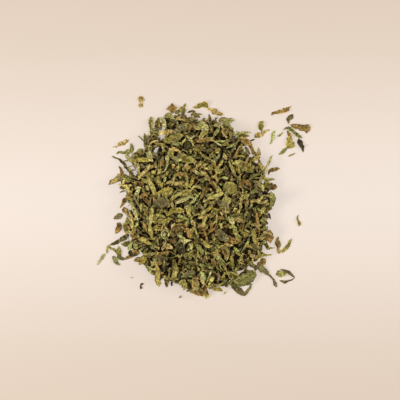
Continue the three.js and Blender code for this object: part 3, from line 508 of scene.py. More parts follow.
# Spots near the foot where the surface shows between flakes: place and radius
BARE_SPOTS = [
    (-16, 35.8, 0.7), (-18, 34.6, 0.4), (-17.2, 31.9, 0.7), (-16.4, 31.6, 0.6), (-20, 25.1, 0.5),
    (-18.8, 25.5, 0.6), (-17.6, 26, 0.5), (-35.2, 19.4, 0.6), (-34, 18.2, 0.8), (-32.6, 17.4, 0.9),
    (-31.2, 16.6, 0.6), (-29.8, 15.2, 0.5), (-30.2, 13.4, 0.6), (-36, 15.8, 0.6), (-35.2, 14.4, 0.7),
    (-34.6, 13.4, 0.5), (-35.6, 4, 1.2), (-36.4, 2.6, 1), (-36.8, 1, 0.6), (-33, -2.2, 0.7),
    (-33.2, -3.8, 0.6), (-35.2, -3, 0.4), (-35.6, -7, 0.5), (-34.6, -8.4, 0.6), (24.4, 26.6, 0.7),
    (24.6, 25, 0.4), (27, 25.2, 0.5), (26.9, 23.8, 0.5), (27.6, 22.6, 0.6), (30, 19.4, 0.6),
    (33.2, 9.6, 0.8), (34, -22.8, 0.5), (33.4, -25.4, 0.7), (34.8, -25.8, 0.8), (22, -34.9, 0.7),
    (23.2, -34.6, 0.5), (-27, -26.8, 0.7), (2.2, 40.6, 0.7), (4.6, 40.4, 0.6), (29.9, -31.5, 0.5),
    (30.5, -30.7, 0.5), (31.1, -30, 0.4), (27.2, -32.4, 0.5), (27.8, -33.1, 0.6), (28.3, -33.8, 0.5),
    (26.4, -33.6, 0.5), (26.2, -34.7, 0.6), (21.4, -36, 0.5), (-33.5, -17, 0.5), (-33.4, -18.3, 0.5),
    (-32.4, -18.9, 0.5), (-36, -25.4, 1), (-35.6, -27, 1), (25.4, -43.2, 0.8),
]

# Crumbs on the surface: colour, place and length
FLOOR_CRUMBS = [
    ("olive", -31.8, -38.5, 1.4),
    ("brown", -7.6, -48.2, 1.4),
    ("olive", 14.6, -46.2, 2),
    ("dark", -25.6, 50.1, 1.2),
    ("dark", 33.1, 34.6, 1),
    ("tan", 55.8, 27.9, 1.2),
    ("tan", -40.4, 26.9, 1.8),
]

# The bit of stalk dried into a coil, from its loose end inwards
COIL_START = 268  # degrees from +X, and then clockwise
COIL_TURNS = 0.86
COIL_STEPS = 40
COIL_RISE = 1.2
COIL_REACH = (1.15, 0.68)  # shares of half the coil's width
COIL_RADII = (0.25, 0.5)
COIL_LIGHTNESS = 0.4

# The surface, the light and the camera, in metres
FLOOR_HALF = 3
FLOOR_DROP = 0.0001
# The surface is painted lighter in a band through its middle and darker away from it, a painted falloff of
# light
FLOOR_MIDDLE = "eee1d6"
FLOOR_FAR = "deccbb"
FLOOR_BAND = (0, 0.115)  # from the middle, where its colour changes
FLOOR_CLOUDS = (6, 2)
FLOOR_CLOUD_REACH = 0.01
FLOOR_MATT = 0.4  # the share of the surface's brightness that the lamps give
# The rest of the surface's brightness is painted light: it glows, which washes out the shadows cast on it
FLOOR_GLOW = 0.61
FLOOR_ROUGHNESS = 0.9
FLOOR_SHINE = 0.1
SKY = (1, 0.95, 0.9, 1)
SKY_STRENGTH = 0.295
LAMP_COLOUR = (1, 0.985, 0.96)
LAMPS = {  # place, size and power
    "light_left": ((-0.47, -0.1, 0.45), (0.2, 0.2), 2.3),
    "light_right": ((0.5, 0.1, 0.4), (0.2, 0.2), 1.2),
    "light_over": ((0, 0, 0.6), (1.6, 0.15), 2.2),
}
CAMERA_PLACE = (0.0022, 0.0003, 0.8)
CAMERA_LENS = 144


def heap_edge(angle):
    steps = len(HEAP_EDGE)
    place = np.mod(angle / TURN, 1) * steps
    return np.interp(place, np.arange(steps + 1), HEAP_EDGE + HEAP_EDGE[:1])


def core_height(x, y):
    share = np.hypot(x, y) / (heap_edge(np.arctan2(y, x)) * CORE_EDGE_SHARE)
    return CORE_HEIGHT * np.clip(1 - share**2, 0, None) ** DOME_POWER


class HeightGrid:
    """The height of the heap over the surface, as it grows."""

    def __init__(self):
        self.count = int(2 * GRID_REACH / CELL)
        middles = (np.arange(self.count) + 0.5) * CELL - GRID_REACH
        x, y = np.meshgrid(middles, middles, indexing="ij")
        self.heights = core_height(x, y)

    def cells(self, x, y):
        places = np.stack([x, y]) + GRID_REACH
        return tuple(np.clip((places / CELL).astype(int), 0, self.count - 1))

    def mean(self, x, y):
        column, row = self.cells(np.array(x), np.array(y))
        reach = int(SLOPE_BLUR / CELL)
        return self.heights[column - reach : column + reach + 1, row - reach : row + reach + 1].mean()

    def normal(self, x, y, tilt):
        """The way up of a flake at this place, leaning by the tilt from the slope under it."""
        rise_x = self.mean(x + SLOPE_REACH, y) - self.mean(x - SLOPE_REACH, y)
        rise_y = self.mean(x, y + SLOPE_REACH) - self.mean(x, y - SLOPE_REACH)
        lean = rng.uniform(0, TURN)
        way = np.array([-rise_x, -rise_y, 2 * SLOPE_REACH])
        way = way / np.linalg.norm(way) + math.tan(tilt) * np.array([math.cos(lean), math.sin(lean), 0])
        return way / np.linalg.norm(way)

    def let_fall(self, points, half_thickness):
        """How far down the points go to rest on the heap, which is raised to them."""
        x, y, z = np.moveaxis(points, -1, 0)
        under = self.cells(x, y)
        low = z - half_thickness
        drop = min(np.quantile(low - self.heights[under], SINK), low.min())
        np.maximum.at(self.heights, under, z + half_thickness - drop)
        return drop

    def smoothed(self, reach):
        """Heights averaged over squares this far each way."""
        heights = self.heights
        size = int(reach / CELL)
        for _ in range(2):
            padded = np.pad(heights, ((size + 1, size), (0, 0)), mode="edge")
            sums = np.cumsum(padded, axis=0)
            heights = ((sums[2 * size + 1 :] - sums[: -2 * size - 1]) / (2 * size + 1)).T
        return heights


class Pieces:
    """Closed shapes gathered into one mesh, with each point's place on its leaf, its flake's colour and its
    painted shade.
    """

    def __init__(self):
        self.points = []
        self.faces = []
        self.smooth = []
        self.leaf = []
        self.flake = []
        self.count = 0

    def add(self, points, faces, smooth, leaf, lightness, margin):
        self.points.append(points)
        self.faces.append(faces + self.count)
        self.smooth.append(smooth)
        self.leaf.append(leaf)
        self.flake.append(np.stack([lightness, margin], -1))
        self.count += len(points)

    def make(self, name, family, node):
        points = np.concatenate(self.points)
        faces = np.concatenate(self.faces)
        # Points that lie lower than the smoothed heap get painted shade, which is weaker near the heap's
        # open foot
        depth = hollows[grid.cells(points[:, 0], points[:, 1])] - points[:, 2]
        depth *= np.clip(points[:, 2] / OPEN_HEIGHT, OPEN_SHARE, 1)
        shade = np.interp(depth, HOLLOW_DEPTHS, (1, 0))
        flake = np.column_stack([np.concatenate(self.flake), shade])
        mesh = bpy.data.meshes.new(name)
        mesh.vertices.add(len(points))
        mesh.vertices.foreach_set("co", points.ravel() * MM)
        mesh.loops.add(faces.size)
        mesh.loops.foreach_set("vertex_index", faces.ravel())
        mesh.polygons.add(len(faces))
        mesh.polygons.foreach_set("loop_start", np.arange(0, faces.size, 4))
        mesh.polygons.foreach_set("use_smooth", np.concatenate(self.smooth))
        for label, values in (("leaf", np.concatenate(self.leaf)), ("flake", flake)):
            attribute = mesh.attributes.new(label, "FLOAT_VECTOR", "POINT")
            attribute.data.foreach_set("vector", values.ravel())
        mesh.update(calc_edges=True)
        mesh.materials.append(MATERIALS[family])
        piece = bpy.data.objects.new(name, mesh)
        bpy.context.scene.collection.objects.link(piece)
        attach(piece, "root")
        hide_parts(node)


def wandering(rows, low, high, knots=5):
    """A line of values that strays between limits along a blade."""
    return np.interp(np.linspace(0, 1, rows), np.linspace(0, 1, knots), rng.uniform(low, high, knots))


def half_widths(kind, rows):
    """Half widths of a blade's two sides along its rib, as shares of the widest."""
    along = np.linspace(0, 1, rows)
    if kind == "shard":
        ends = np.interp(along, SHARD_ENDS, [rng.uniform(*SHARD_START), 1, 1, rng.uniform(*SHARD_TIP)])
        sides = [ends * wandering(rows, *SHARD_SIDES, SHARD_BITES) for _ in range(2)]
    else:
        torn = rng.uniform(*TORN) if rng.random() < TORN_SHARE else 0
        lens = np.sin(np.pi * (torn + (1 - torn) * along)).clip(0) ** LENS_POWER[kind]
        sides = [lens / lens.max() * wandering(rows, 1 - WANDER, 1 + WANDER) for _ in range(2)]
    teeth = 1 + TOOTH * (-1.0) ** np.arange(rows)
    return np.array(sides) * teeth * rng.uniform(1 - RAGGED, 1 + RAGGED, (2, rows))


def steps_between(size, step, limits):
    return int(np.clip(round(size / step), *limits))


def joined(left, right):
    """Values on both sides of a rib, each from the rib out, in one row with the rib's own between them."""
    return np.hstack([left[:, ::-1], np.zeros((len(left), 1)), right])


def flat_across(sides, columns):
    """Distances across a blade before it curls, with this many columns to each side."""
    left, right = sides[..., None] * np.linspace(0, 1, columns + 1)[1:]
    return joined(-left, right)


def section(widths, curl, fold, power, steps):
    """One side of a blade's cross sections, from the rib out, as distances across and up."""
    middles = (np.arange(steps) + 0.5) / steps
    angles = fold + (curl * widths / widths.max())[:, None] * middles**power
    run = widths[:, None] / steps
    return np.cumsum(np.cos(angles) * run, axis=1), np.cumsum(np.sin(angles) * run, axis=1)


def rib_line(length, angles):
    """Places along a rib that pitches by these angles, centred on its middle."""
    run = length / (len(angles) - 1)
    middles = (angles[1:] + angles[:-1]) / 2
    ahead = np.concatenate([[0], np.cumsum(np.cos(middles) * run)])
    upward = np.concatenate([[0], np.cumsum(np.sin(middles) * run)])
    return ahead - ahead[-1] / 2, upward - upward.mean()


def crumple(across, along, most):
    """One train of waves that runs over a blade in any direction."""
    way = rng.uniform(0, TURN)
    wave = TURN / rng.uniform(*CRUMPLE_WAVE)
    travel = math.cos(way) * across + math.sin(way) * along
    return most * rng.uniform(*CRUMPLE_SHARE) * np.sin(wave * travel + rng.uniform(0, TURN))


def blade_surface(kind, length, width, ease, coarseness):
    """The middle surface of a blade, its rib along Y, and distances across and along it when flat."""
    form = KINDS[kind]
    rows = steps_between(length, ROW_STEP * coarseness, ROWS) + 1
    columns = steps_between(width / 2, COLUMN_STEP * coarseness, COLUMNS)
    sides = np.maximum(half_widths(kind, rows) * width / 2, LEAST_HALF_WIDTH)
    across = flat_across(sides, columns)
    share = np.linspace(-0.5, 0.5, rows)
    along = np.repeat(share[:, None] * length, 2 * columns + 1, axis=1)

    curl = rng.choice([-1, 1], p=[1 - CURLS_UP, CURLS_UP]) * rng.uniform(*CURL) * form["curl"] * ease
    fold = rng.uniform(*FOLD) * form["fold"] * ease
    power = rng.uniform(*CURL_POWER)
    left = section(sides[0], curl * wandering(rows, *CURL_DRIFT), fold, power, columns)
    right = section(sides[1], curl * wandering(rows, *CURL_DRIFT), fold, power, columns)
    x = joined(-left[0], right[0])
    z = joined(left[1], right[1])
    for _ in range(CRUMPLES):
        z += crumple(across, along, form["crumple"])

    pitch = -rng.normal(*BEND) * form["bend"] * ease * share
    pitch = pitch + wandering(rows, -PITCH_DRIFT, PITCH_DRIFT) * ease
    ahead, upward = rib_line(length, pitch)
    turn = (rng.normal(0, TWIST_SPREAD) * form["twist"] * ease * share)[:, None]
    sickle = rng.normal(0, SICKLE_SPREAD) * length * (2 * share) ** 2
    outward = z * np.cos(turn) - x * np.sin(turn)
    points = [
        x * np.cos(turn) + z * np.sin(turn) + sickle[:, None],
        ahead[:, None] - outward * np.sin(pitch)[:, None],
        upward[:, None] + outward * np.cos(pitch)[:, None],
    ]
    return np.stack(points, axis=-1), across, along


def blade_faces(rows, columns):
    """Quads of a closed blade: its upper face, its under face and the rim between them."""
    index = np.arange(rows * columns).reshape(rows, columns)
    corners = [index[:-1, :-1], index[:-1, 1:], index[1:, 1:], index[1:, :-1]]
    upper = np.stack(corners, axis=-1).reshape(-1, 4)
    under = upper[:, ::-1] + index.size
    border = np.concatenate([index[0, :-1], index[:-1, -1], index[-1, :0:-1], index[:0:-1, 0]])
    onward = np.roll(border, -1)
    rim = np.stack([onward, border, border + index.size, onward + index.size], axis=-1)
    smooth = np.repeat([True, True, False], [len(upper), len(under), len(rim)])
    return np.concatenate([upper, under, rim]), smooth


def finer(points):
    """The same surface with a point put in halfway between each two."""
    for axis in (0, 1):
        places = np.arange(2 * points.shape[axis] - 1) / 2
        lower = np.take(points, np.floor(places).astype(int), axis)
        upper = np.take(points, np.ceil(places).astype(int), axis)
        points = (lower + upper) / 2
    return points


def turned_to(points, heading, normal):
    """Points given by a blade's own axes, turned so that its rib has this heading and it faces this way."""
    ahead = np.array([math.cos(heading), math.sin(heading), 0])
    rib = ahead - normal * (ahead @ normal)
    rib /= np.linalg.norm(rib)
    return points @ np.stack([np.cross(rib, normal), rib, normal])


def lay_blade(pieces, surface, across, along, lightness):
    """A closed blade with this middle surface, let fall on the heap."""
    laid = surface.copy()
    laid[..., 2] -= grid.let_fall(finer(laid), THICKNESS / 2)
    normals = np.cross(np.gradient(laid, axis=1), np.gradient(laid, axis=0))
    normals *= THICKNESS / 2 / np.linalg.norm(normals, axis=-1, keepdims=True)
    points = np.concatenate([(laid + normals).reshape(-1, 3), (laid - normals).reshape(-1, 3)])
    rows, columns = across.shape
    faces, smooth = blade_faces(rows, columns)
    along = along + rng.uniform(0, VEIN_SHIFT)
    leaf = [np.stack([across, along, np.full_like(across, side)], -1).reshape(-1, 3) for side in (1, 0)]
    fading = rng.normal(0, FADING) * np.linspace(-1, 1, rows) + wandering(rows, -FADING, FADING)
    margin = rng.choice([-1, 1], p=(BROWN_MARGINS, 1 - BROWN_MARGINS)) * np.abs(np.linspace(-1, 1, columns))
    pieces.add(
        points, faces, smooth, np.concatenate(leaf),
        np.tile(np.repeat(lightness + fading, columns), 2), np.tile(margin, 2 * rows),
    )


def over_bare_spot(points):
    spots = np.array(BARE_SPOTS)
    apart = np.linalg.norm(points[..., None, :2] - spots[:, :2], axis=-1)
    return (apart < spots[:, 2]).any()


def lay_flake(pieces, kind, length, width, place, heading, tilt, ease=1.0, coarseness=1.0):
    """A torn flake, left out where it would cover a bare spot."""
    surface, across, along = blade_surface(kind, length, width, ease, coarseness)
    laid = turned_to(surface, heading, grid.normal(*place, math.radians(tilt))) + [*place, 0]
    if not over_bare_spot(laid):
        lay_blade(pieces, laid, across, along, rng.uniform(0, 1))


def smooth_line(knots, values, places):
    """Values at places along a smooth line through values at knots."""
    slopes = np.gradient(values, knots, axis=0)
    seat = np.clip(np.searchsorted(knots, places, side="right") - 1, 0, len(knots) - 2)
    run = (knots[seat + 1] - knots[seat])[:, None]
    share = (places - knots[seat])[:, None] / run
    back = 1 - share
    first = values[seat] * (1 + 2 * share) + slopes[seat] * share * run
    second = values[seat + 1] * (1 + 2 * back) - slopes[seat + 1] * back * run
    return first * back**2 + second * share**2


def along_slope(x, y):
    """Heights of a flat blade that lies along the slope under it."""
    columns = np.column_stack([x.ravel(), y.ravel(), np.ones(x.size)])
    under = grid.heights[grid.cells(x, y)].ravel()
    slope = np.linalg.lstsq(columns, under, rcond=None)[0]
    slope[:2] *= min(1, TRACED_SLOPE / np.hypot(*slope[:2]).clip(LEAST_SLOPE))
    return (columns @ slope).reshape(x.shape)


def lay_traced_flake(pieces, lightness, outline):
    """A flake with a traced outline, lying along the slope under it."""
    stations = [[float(number) for number in station.split()] for station in outline.split(",")]
    stations = np.array([(*station[:3], station[-1]) for station in stations])
    steps = np.linalg.norm(np.diff(stations[:, :2], axis=0), axis=1)
    knots = np.concatenate([[0], np.cumsum(steps)])
    rows = steps_between(knots[-1], TRACED_ROW_STEP, TRACED_ROWS) + 1
    travel = np.linspace(0, knots[-1], rows)
    rib = smooth_line(knots, stations[:, :2], travel)
    ends = (rng.uniform(*TRACED_TIP_WIDTH), 1, 1, rng.uniform(*TRACED_TIP_WIDTH))
    tips = np.interp(travel / knots[-1], TRACED_TIPS, ends)
    sides = [
        np.interp(travel, knots, reach) * tips
        * wandering(rows, 1 - TRACED_WANDER, 1 + TRACED_WANDER, rows // 2)
        for reach in stations[:, 2:].T
    ]
    sides = np.maximum(sides, LEAST_HALF_WIDTH)
    columns = steps_between(sides.max(), TRACED_COLUMN_STEP, TRACED_COLUMNS)
    across = flat_across(sides, columns)
    along = np.repeat(travel[:, None], 2 * columns + 1, axis=1)
    ahead = np.gradient(rib, axis=0)
    ahead /= np.linalg.norm(ahead, axis=1, keepdims=True)
    x = rib[:, :1] + across * ahead[:, 1:]
    y = rib[:, 1:] - across * ahead[:, :1]

    z = along_slope(x, y)
    reach = sides.max()
    stiff = min(1, TRACED_STIFF / reach)
    folds = rng.uniform(*TRACED_FOLD, 2) * stiff
    z += np.where(across < 0, *folds) * np.abs(across)
    z += rng.uniform(*TRACED_CURL_SHARE) * TRACED_CURL * across**2 / reach
    z += TRACED_BEND * stiff * wandering(rows, -1, 1, TRACED_KNOTS)[:, None] * reach
    z += TRACED_TWIST * stiff * wandering(rows, -1, 1, TRACED_KNOTS)[:, None] * across
    for _ in range(CRUMPLES):
        z += crumple(across, along, TRACED_CRUMPLE)
    lay_blade(pieces, np.stack([x, y, z], -1), across, along, lightness)


def lay_stalk(pieces, path, radius, lightness):
    """A closed six-sided bar along a path."""
    path = path.copy()
    path[:, 2] -= grid.let_fall(path, radius)
    ahead = np.gradient(path, axis=0)
    ahead /= np.linalg.norm(ahead, axis=1, keepdims=True)
    across = np.cross(ahead, NEARLY_UP)
    across /= np.linalg.norm(across, axis=1, keepdims=True)
    upward = np.cross(across, ahead)
    angles = np.arange(STALK_SIDES) / STALK_SIDES * 2 * np.pi
    ring = np.cos(angles)[:, None] * across[:, None] + np.sin(angles)[:, None] * upward[:, None]
    points = (path[:, None] + ring * radius[:, None, None]).reshape(-1, 3)
    index = np.arange(len(points)).reshape(-1, STALK_SIDES)
    beside = np.roll(index, -1, axis=1)
    walls = np.stack([index[:-1], index[1:], beside[1:], beside[:-1]], axis=-1).reshape(-1, 4)
    first, last = index[0], index[-1]
    caps = [first[[0, 1, 2, 3]], first[[0, 3, 4, 5]], last[[3, 2, 1, 0]], last[[5, 4, 3, 0]]]
    smooth = np.repeat([True, False], [len(walls), len(caps)])
    along = np.repeat(np.linspace(0, STALK_VEINS, len(path)), STALK_SIDES)
    leaf = np.stack([np.full_like(along, OFF_RIB), along, np.ones_like(along)], -1)
    faces = np.concatenate([walls, np.array(caps)])
    pieces.add(points, faces, smooth, leaf, np.full(len(points), lightness), np.zeros(len(points)))


def heap_place():
    """A place on the heap, the lowest of a few against the form that the heap takes."""
    angles = rng.uniform(0, TURN, TRIES)
    reach = heap_edge(angles) * HEAP_SPREAD * np.sqrt(rng.uniform(0, 1, TRIES))
    places = list(zip(reach * np.cos(angles), reach * np.sin(angles)))
    return min(places, key=lambda place: grid.mean(*place) - core_height(*place))


def foot_place(spread):
    """A direction from the heap's middle, and a place that way near its foot."""
    angle = rng.uniform(0, TURN)
    reach = heap_edge(angle) * rng.uniform(*spread)
    return angle, (reach * math.cos(angle), reach * math.sin(angle))


def picked(shares):
    return list(shares)[rng.choice(len(shares), p=list(shares.values()))]


def lay_heap_flake(pieces, coarseness):
    kind = picked(KIND_SHARES)
    length = np.clip(LENGTH_MIDDLE * math.exp(rng.normal(0, LENGTH_SPREAD)), *LENGTH_LIMITS)
    width = length * rng.uniform(*KINDS[kind]["width"])
    tilt = abs(rng.normal(0, TILT))
    if rng.random() < STEEP_SHARE:
        tilt = rng.uniform(TILT, STEEP_TILT)
    heading = rng.uniform(0, TURN)
    lay_flake(pieces, kind, length, width, heap_place(), heading, tilt, coarseness=coarseness)


def lay_foot_flake(pieces):
    """A flake that lies near the heap's foot, under the others."""
    length = rng.uniform(*FOOT_LENGTH)
    width = length * rng.uniform(*KINDS["shard"]["width"])
    _, place = foot_place(FOOT_SPREAD)
    heading = rng.uniform(0, TURN)
    lay_flake(pieces, "shard", length, width, place, heading, TILT, FOOT_EASE, BURIED_COARSENESS)


def lay_fringe_flake(pieces):
    """A slim flake that points out of the heap's foot."""
    kind = picked(FRINGE_KINDS)
    length = rng.uniform(*FRINGE_LENGTH)
    width = length * rng.uniform(*KINDS[kind]["width"])
    angle, place = foot_place(FRINGE_SPREAD)
    lay_flake(pieces, kind, length, width, place, angle + rng.normal(0, FRINGE_TURN), TILT)


def lay_crumb(pieces, length, place):
    width = length * rng.uniform(*CRUMB_WIDTH)
    tilt = rng.uniform(0, STEEP_TILT)
    lay_flake(pieces, "shard", length, width, place, rng.uniform(0, TURN), tilt)


def lay_heap_stalk(pieces):
    length = rng.uniform(*STALK_LENGTH)
    place = heap_place()
    steps = np.linspace(-0.5, 0.5, STALK_STEPS)
    one_way, both_ways = STALK_BOWS
    bow = rng.normal(0, one_way) * (2 * steps) ** 2 + rng.normal(0, both_ways) * (2 * steps) ** 3
    path = np.stack([bow, steps, STALK_RISE * bow], -1) * length
    heading = rng.uniform(0, TURN)
    laid = turned_to(path, heading, grid.normal(*place, math.radians(TILT))) + [*place, 0]
    radius = rng.uniform(*STALK_RADIUS) * np.linspace(1, STALK_TAPER, len(path))
    lay_stalk(pieces, laid, radius, rng.uniform(0, 1))


def linear(code):
    """A colour code as linear red, green and blue."""
    values = np.array([int(code[i : i + 2], 16) / 255 for i in (0, 2, 4)])
    values = np.where(values <= 0.04045, values / 12.92, ((values + 0.055) / 1.055) ** 2.4)
    return (*values, 1)


class Nodes:
    """The node tree of one material."""

    def __init__(self, name):
        self.material = bpy.data.materials.new(name)
        self.material.use_nodes = True
        self.tree = self.material.node_tree
        self.inputs = self.tree.nodes["Principled BSDF"].inputs

    def put(self, value, socket):
        if isinstance(value, bpy.types.NodeSocket):
            self.tree.links.new(value, socket)
        else:
            socket.default_value = value

    def new(self, kind, **inputs):
        node = self.tree.nodes.new(kind)
        for name, value in inputs.items():
            self.put(value, node.inputs[name])
        return node

    def math(self, operation, first, second=0.0):
        node = self.tree.nodes.new("ShaderNodeMath")
        node.operation = operation
        self.put(first, node.inputs[0])
        self.put(second, node.inputs[1])
        return node.outputs[0]

    def mix(self, share, first, second, blend="MIX"):
        node = self.tree.nodes.new("ShaderNodeMix")
        node.data_type = "RGBA"
        node.blend_type = blend
        self.put(share, node.inputs[0])
        self.put(first, node.inputs[6])
        self.put(second, node.inputs[7])
        return node.outputs[2]

    def tint(self, colour, where, share, code):
        return self.mix(self.math("MULTIPLY", where, share), colour, linear(code))

    def ramp(self, value, low, high, start=0.0, end=1.0):
        node = self.tree.nodes.new("ShaderNodeMapRange")
        node.interpolation_type = "SMOOTHSTEP"
        for place, number in enumerate((value, low, high, start, end)):
            self.put(number, node.inputs[place])
        return node.outputs[0]

    def place(self):
        return self.tree.nodes.new("ShaderNodeTexCoord").outputs["Object"]

    def noise(self, scale, detail):
        node = self.new("ShaderNodeTexNoise", Vector=self.place(), Scale=scale, Detail=detail)
        return node.outputs["Fac"]

    def creases(self, scale):
        return self.new("ShaderNodeTexVoronoi", Vector=self.place(), Scale=scale).outputs["Distance"]

    def parts(self, vector):
        return self.new("ShaderNodeSeparateXYZ", Vector=vector).outputs

    def stored(self, name):
        attribute = self.tree.nodes.new("ShaderNodeAttribute")
        attribute.attribute_name = name
        return self.parts(attribute.outputs["Vector"])


def leaf_material(family):
    _, dark, light, stain = COLOURS[family]
    nodes = Nodes(f"dried_{family}_leaf")
    across, along, side = nodes.stored("leaf")
    lightness, margin, shade = nodes.stored("flake")
    blotch = nodes.noise(*BLOTCHES)
    grain = nodes.noise(*GRAIN)
    crease = nodes.creases(CREASES)
    away = nodes.math("ABSOLUTE", across)

    # Side veins leave the rib at a slant, about a millimetre apart
    slant = nodes.math("SUBTRACT", along, nodes.math("MULTIPLY", away, VEIN_SLANT))
    beat = nodes.math("PINGPONG", nodes.math("DIVIDE", slant, VEIN_STEP), 0.5)
    veins = nodes.ramp(beat, *VEIN_EDGE, 1, 0)
    rib = nodes.ramp(away, *RIB_EDGE, 1, 0)
    ribs = nodes.math("MAXIMUM", rib, nodes.math("MULTIPLY", veins, VEIN_SHARE))

    # Each blade drifts in colour along its length, with stains, and a browner margin or a lighter one,
    # which is partly paler torn tissue and partly a painted highlight along the edge
    colour = nodes.mix(lightness, linear(dark), linear(light))
    colour = nodes.tint(colour, nodes.ramp(blotch, *STAIN_RANGE), STAIN_TINT, stain)
    colour = nodes.tint(colour, ribs, RIB_TINT, light)
    colour = nodes.tint(colour, nodes.ramp(margin, *PALE_EDGE_AND_HIGHLIGHT), PALE_EDGE_AND_HIGHLIGHT_TINT, light)
    colour = nodes.tint(colour, nodes.ramp(margin, *BROWN_MARGIN), BROWN_MARGIN_TINT, MARGIN)
    colour = nodes.tint(colour, nodes.math("SUBTRACT", 1.0, side), UNDERSIDE_TINT, UNDERSIDE)
    patchy = nodes.mix(1.0, colour, nodes.ramp(grain, *GRAIN_RANGE, *GRAIN_TONES), "MULTIPLY")
    # Painted shade: points down between flakes are darkened towards a warm brown
    painted_shade = nodes.mix(shade, linear(PAINTED_HOLLOW_SHADE), (1, 1, 1, 1))
    nodes.put(nodes.mix(1.0, patchy, painted_shade, "MULTIPLY"), nodes.inputs["Base Color"])

    nodes.put(nodes.ramp(blotch, *BLOTCH_RANGE, *LEAF_ROUGHNESS), nodes.inputs["Roughness"])
    nodes.inputs["Specular IOR Level"].default_value = LEAF_SHINE
    relief = nodes.math("ADD", nodes.math("MULTIPLY", ribs, RIB_RELIEF), grain)
    relief = nodes.math("ADD", relief, crease)
    bump = nodes.new("ShaderNodeBump", Strength=1.0, Distance=RELIEF * MM, Height=relief)
    nodes.put(bump.outputs[0], nodes.inputs["Normal"])
    return nodes.material


def make_core():
    """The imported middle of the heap, closed below."""
    shares = np.array(CORE_FLOOR + CORE_DOME)
    raised = np.arange(len(shares)) >= len(CORE_FLOOR)
    angles = np.arange(CORE_SIDES) / CORE_SIDES * 2 * np.pi
    reach = shares[:, None] * heap_edge(angles) * CORE_EDGE_SHARE
    x, y = reach * np.cos(angles), reach * np.sin(angles)
    z = core_height(x, y) * raised[:, None] + CORE_LIFT * raised[:, None]
    index = np.arange(x.size).reshape(x.shape)
    beside = np.roll(index, -1, axis=1)
    walls = np.stack([index[:-1], beside[:-1], beside[1:], index[1:]], -1).reshape(-1, 4)
    caps = [
        ring[[0, i, i + 1, i + 2]]
        for ring in (index[0][::-1], index[-1])
        for i in range(1, CORE_SIDES - 2, 2)
    ]
    points = np.stack([x, y, z], -1).reshape(-1, 3)
    faces = np.concatenate([walls, np.array(caps)])
    leaf = np.tile([OFF_RIB, 0.0, 1.0], (len(points), 1))
    # The core stands for packed flakes, given the darkest end of the dark leaf colour as painted shade deep
    # in the heap
    plain = np.zeros(len(points))
    core = Pieces()
    core.add(points, faces, np.ones(len(faces), bool), leaf, plain, plain)
    core.make("heap_core", "dark", "leaf_heap")


def lay_coil(pieces):
    low, high = (np.array(corner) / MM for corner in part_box("coiled_stalk"))
    steps = np.linspace(0, 1, COIL_STEPS)
    angles = math.radians(COIL_START) - steps * COIL_TURNS * 2 * np.pi
    reach = np.min((high - low)[:2]) / 2 * np.interp(steps, (0, 1), COIL_REACH)
    path = np.stack([reach * np.cos(angles), reach * np.sin(angles), COIL_RISE * steps], -1)
    path[:, :2] += (low + high)[:2] / 2
    lay_stalk(pieces, path, np.interp(steps, (0, 1), COIL_RADII), COIL_LIGHTNESS)


MATERIALS = {family: leaf_material(family) for family in COLOURS}
COLOUR_SHARES = {family: colour[0] for family, colour in COLOURS.items()}
KIND_SHARES = {kind: form["share"] for kind, form in KINDS.items()}

grid = HeightGrid()
lower = {family: Pieces() for family in COLOURS}
upper = {family: Pieces() for family in COLOURS}

for family, lightness, outline in RIM_FLAKES:
    lay_traced_flake(upper[family], lightness, outline)
for family, x, y, length in FLOOR_CRUMBS:
    lay_crumb(upper[family], length, (x, y))

for _ in range(FOOT_FLAKES):
    lay_foot_flake(lower[picked(COLOUR_SHARES)])

things = [lay_heap_flake] * HEAP_FLAKES + [lay_crumb] * HEAP_CRUMBS + [lay_heap_stalk] * HEAP_STALKS
rng.shuffle(things)
for number, lay in enumerate(things):
    buried = number < len(things) / 2
    pieces = (lower if buried else upper)[picked(COLOUR_SHARES)]
    if lay is lay_heap_flake:
        lay(pieces, BURIED_COARSENESS if buried else 1.0)
    elif lay is lay_crumb:
        lay(pieces, rng.uniform(*CRUMB_LENGTH), heap_place())
    else:
        lay(pieces)

for _ in range(FRINGE_FLAKES):
    lay_fringe_flake(upper[picked(COLOUR_SHARES)])
for family, lightness, outline in TOP_FLAKES:
    lay_traced_flake(upper[family], lightness, outline)

free = {}
for entry in frame["record"]["subparts"]:
    node = entry["node"]
    if node == "leaf_heap":
        continue
    pieces = Pieces()
    if node in TRACED:
        lay_traced_flake(pieces, *TRACED[node])
    else:
        lay_coil(pieces)
    free[node] = (pieces, entry["material_slot"].removesuffix("_leaf"))

# The smoothed heap that the painted shade between flakes is measured from
hollows = grid.smoothed(HOLLOW_BLUR)
make_core()
for family in COLOURS:
    lower[family].make(f"heap_{family}_lower", family, "leaf_heap")
    upper[family].make(f"heap_{family}_upper", family, "leaf_heap")
for node, (pieces, family) in free.items():
    pieces.make(f"{node}_flake", family, node)

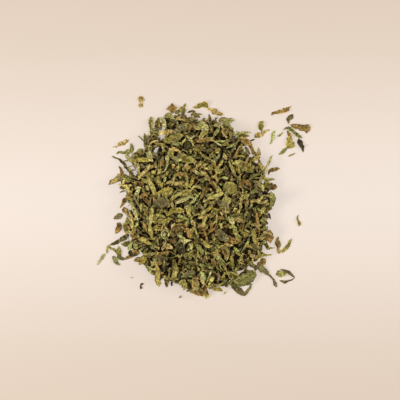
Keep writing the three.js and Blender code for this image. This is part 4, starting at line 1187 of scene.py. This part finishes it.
scene = bpy.context.scene
world = bpy.data.worlds.new("studio")
world.use_nodes = True
background = world.node_tree.nodes["Background"]
background.inputs["Color"].default_value = SKY
background.inputs["Strength"].default_value = SKY_STRENGTH
scene.world = world

nodes = Nodes("pale_surface")
# The surface's colour carries a painted band of light along its middle, with a wavering edge
away = nodes.math("ABSOLUTE", nodes.parts(nodes.place())["Y"])
clouds = nodes.math("MULTIPLY", nodes.noise(*FLOOR_CLOUDS), FLOOR_CLOUD_REACH)
band = nodes.ramp(nodes.math("ADD", away, clouds), *FLOOR_BAND)
floor_and_painted_light = nodes.mix(band, linear(FLOOR_MIDDLE), linear(FLOOR_FAR))
matt = nodes.mix(1.0, floor_and_painted_light, (FLOOR_MATT, FLOOR_MATT, FLOOR_MATT, 1), "MULTIPLY")
nodes.put(matt, nodes.inputs["Base Color"])
# Painted light: the surface glows with its own colour, so that shadows on it stay faint
nodes.put(floor_and_painted_light, nodes.inputs["Emission Color"])
nodes.inputs["Emission Strength"].default_value = FLOOR_GLOW
nodes.inputs["Roughness"].default_value = FLOOR_ROUGHNESS
nodes.inputs["Specular IOR Level"].default_value = FLOOR_SHINE
floor_mesh = bpy.data.meshes.new("floor")
corners = [(FLOOR_HALF * x, FLOOR_HALF * y, -FLOOR_DROP) for x, y in ((-1, -1), (1, -1), (1, 1), (-1, 1))]
floor_mesh.from_pydata(corners, [], [(0, 1, 2, 3)])
floor_mesh.materials.append(nodes.material)
floor = bpy.data.objects.new("floor", floor_mesh)
scene.collection.objects.link(floor)

for name, (place, size, power) in LAMPS.items():
    light = bpy.data.lights.new(name, "AREA")
    light.shape = "RECTANGLE"
    light.size, light.size_y = size
    light.energy = power
    light.color = LAMP_COLOUR
    lamp = bpy.data.objects.new(name, light)
    lamp.location = place
    lamp.rotation_euler = (-lamp.location).to_track_quat("-Z", "Y").to_euler()
    lamp.visible_camera = False
    scene.collection.objects.link(lamp)

camera = bpy.data.objects.new("camera", bpy.data.cameras.new("camera"))
camera.location = CAMERA_PLACE
camera.data.lens = CAMERA_LENS
scene.collection.objects.link(camera)
scene.camera = camera
scene.view_settings.view_transform = "Standard"
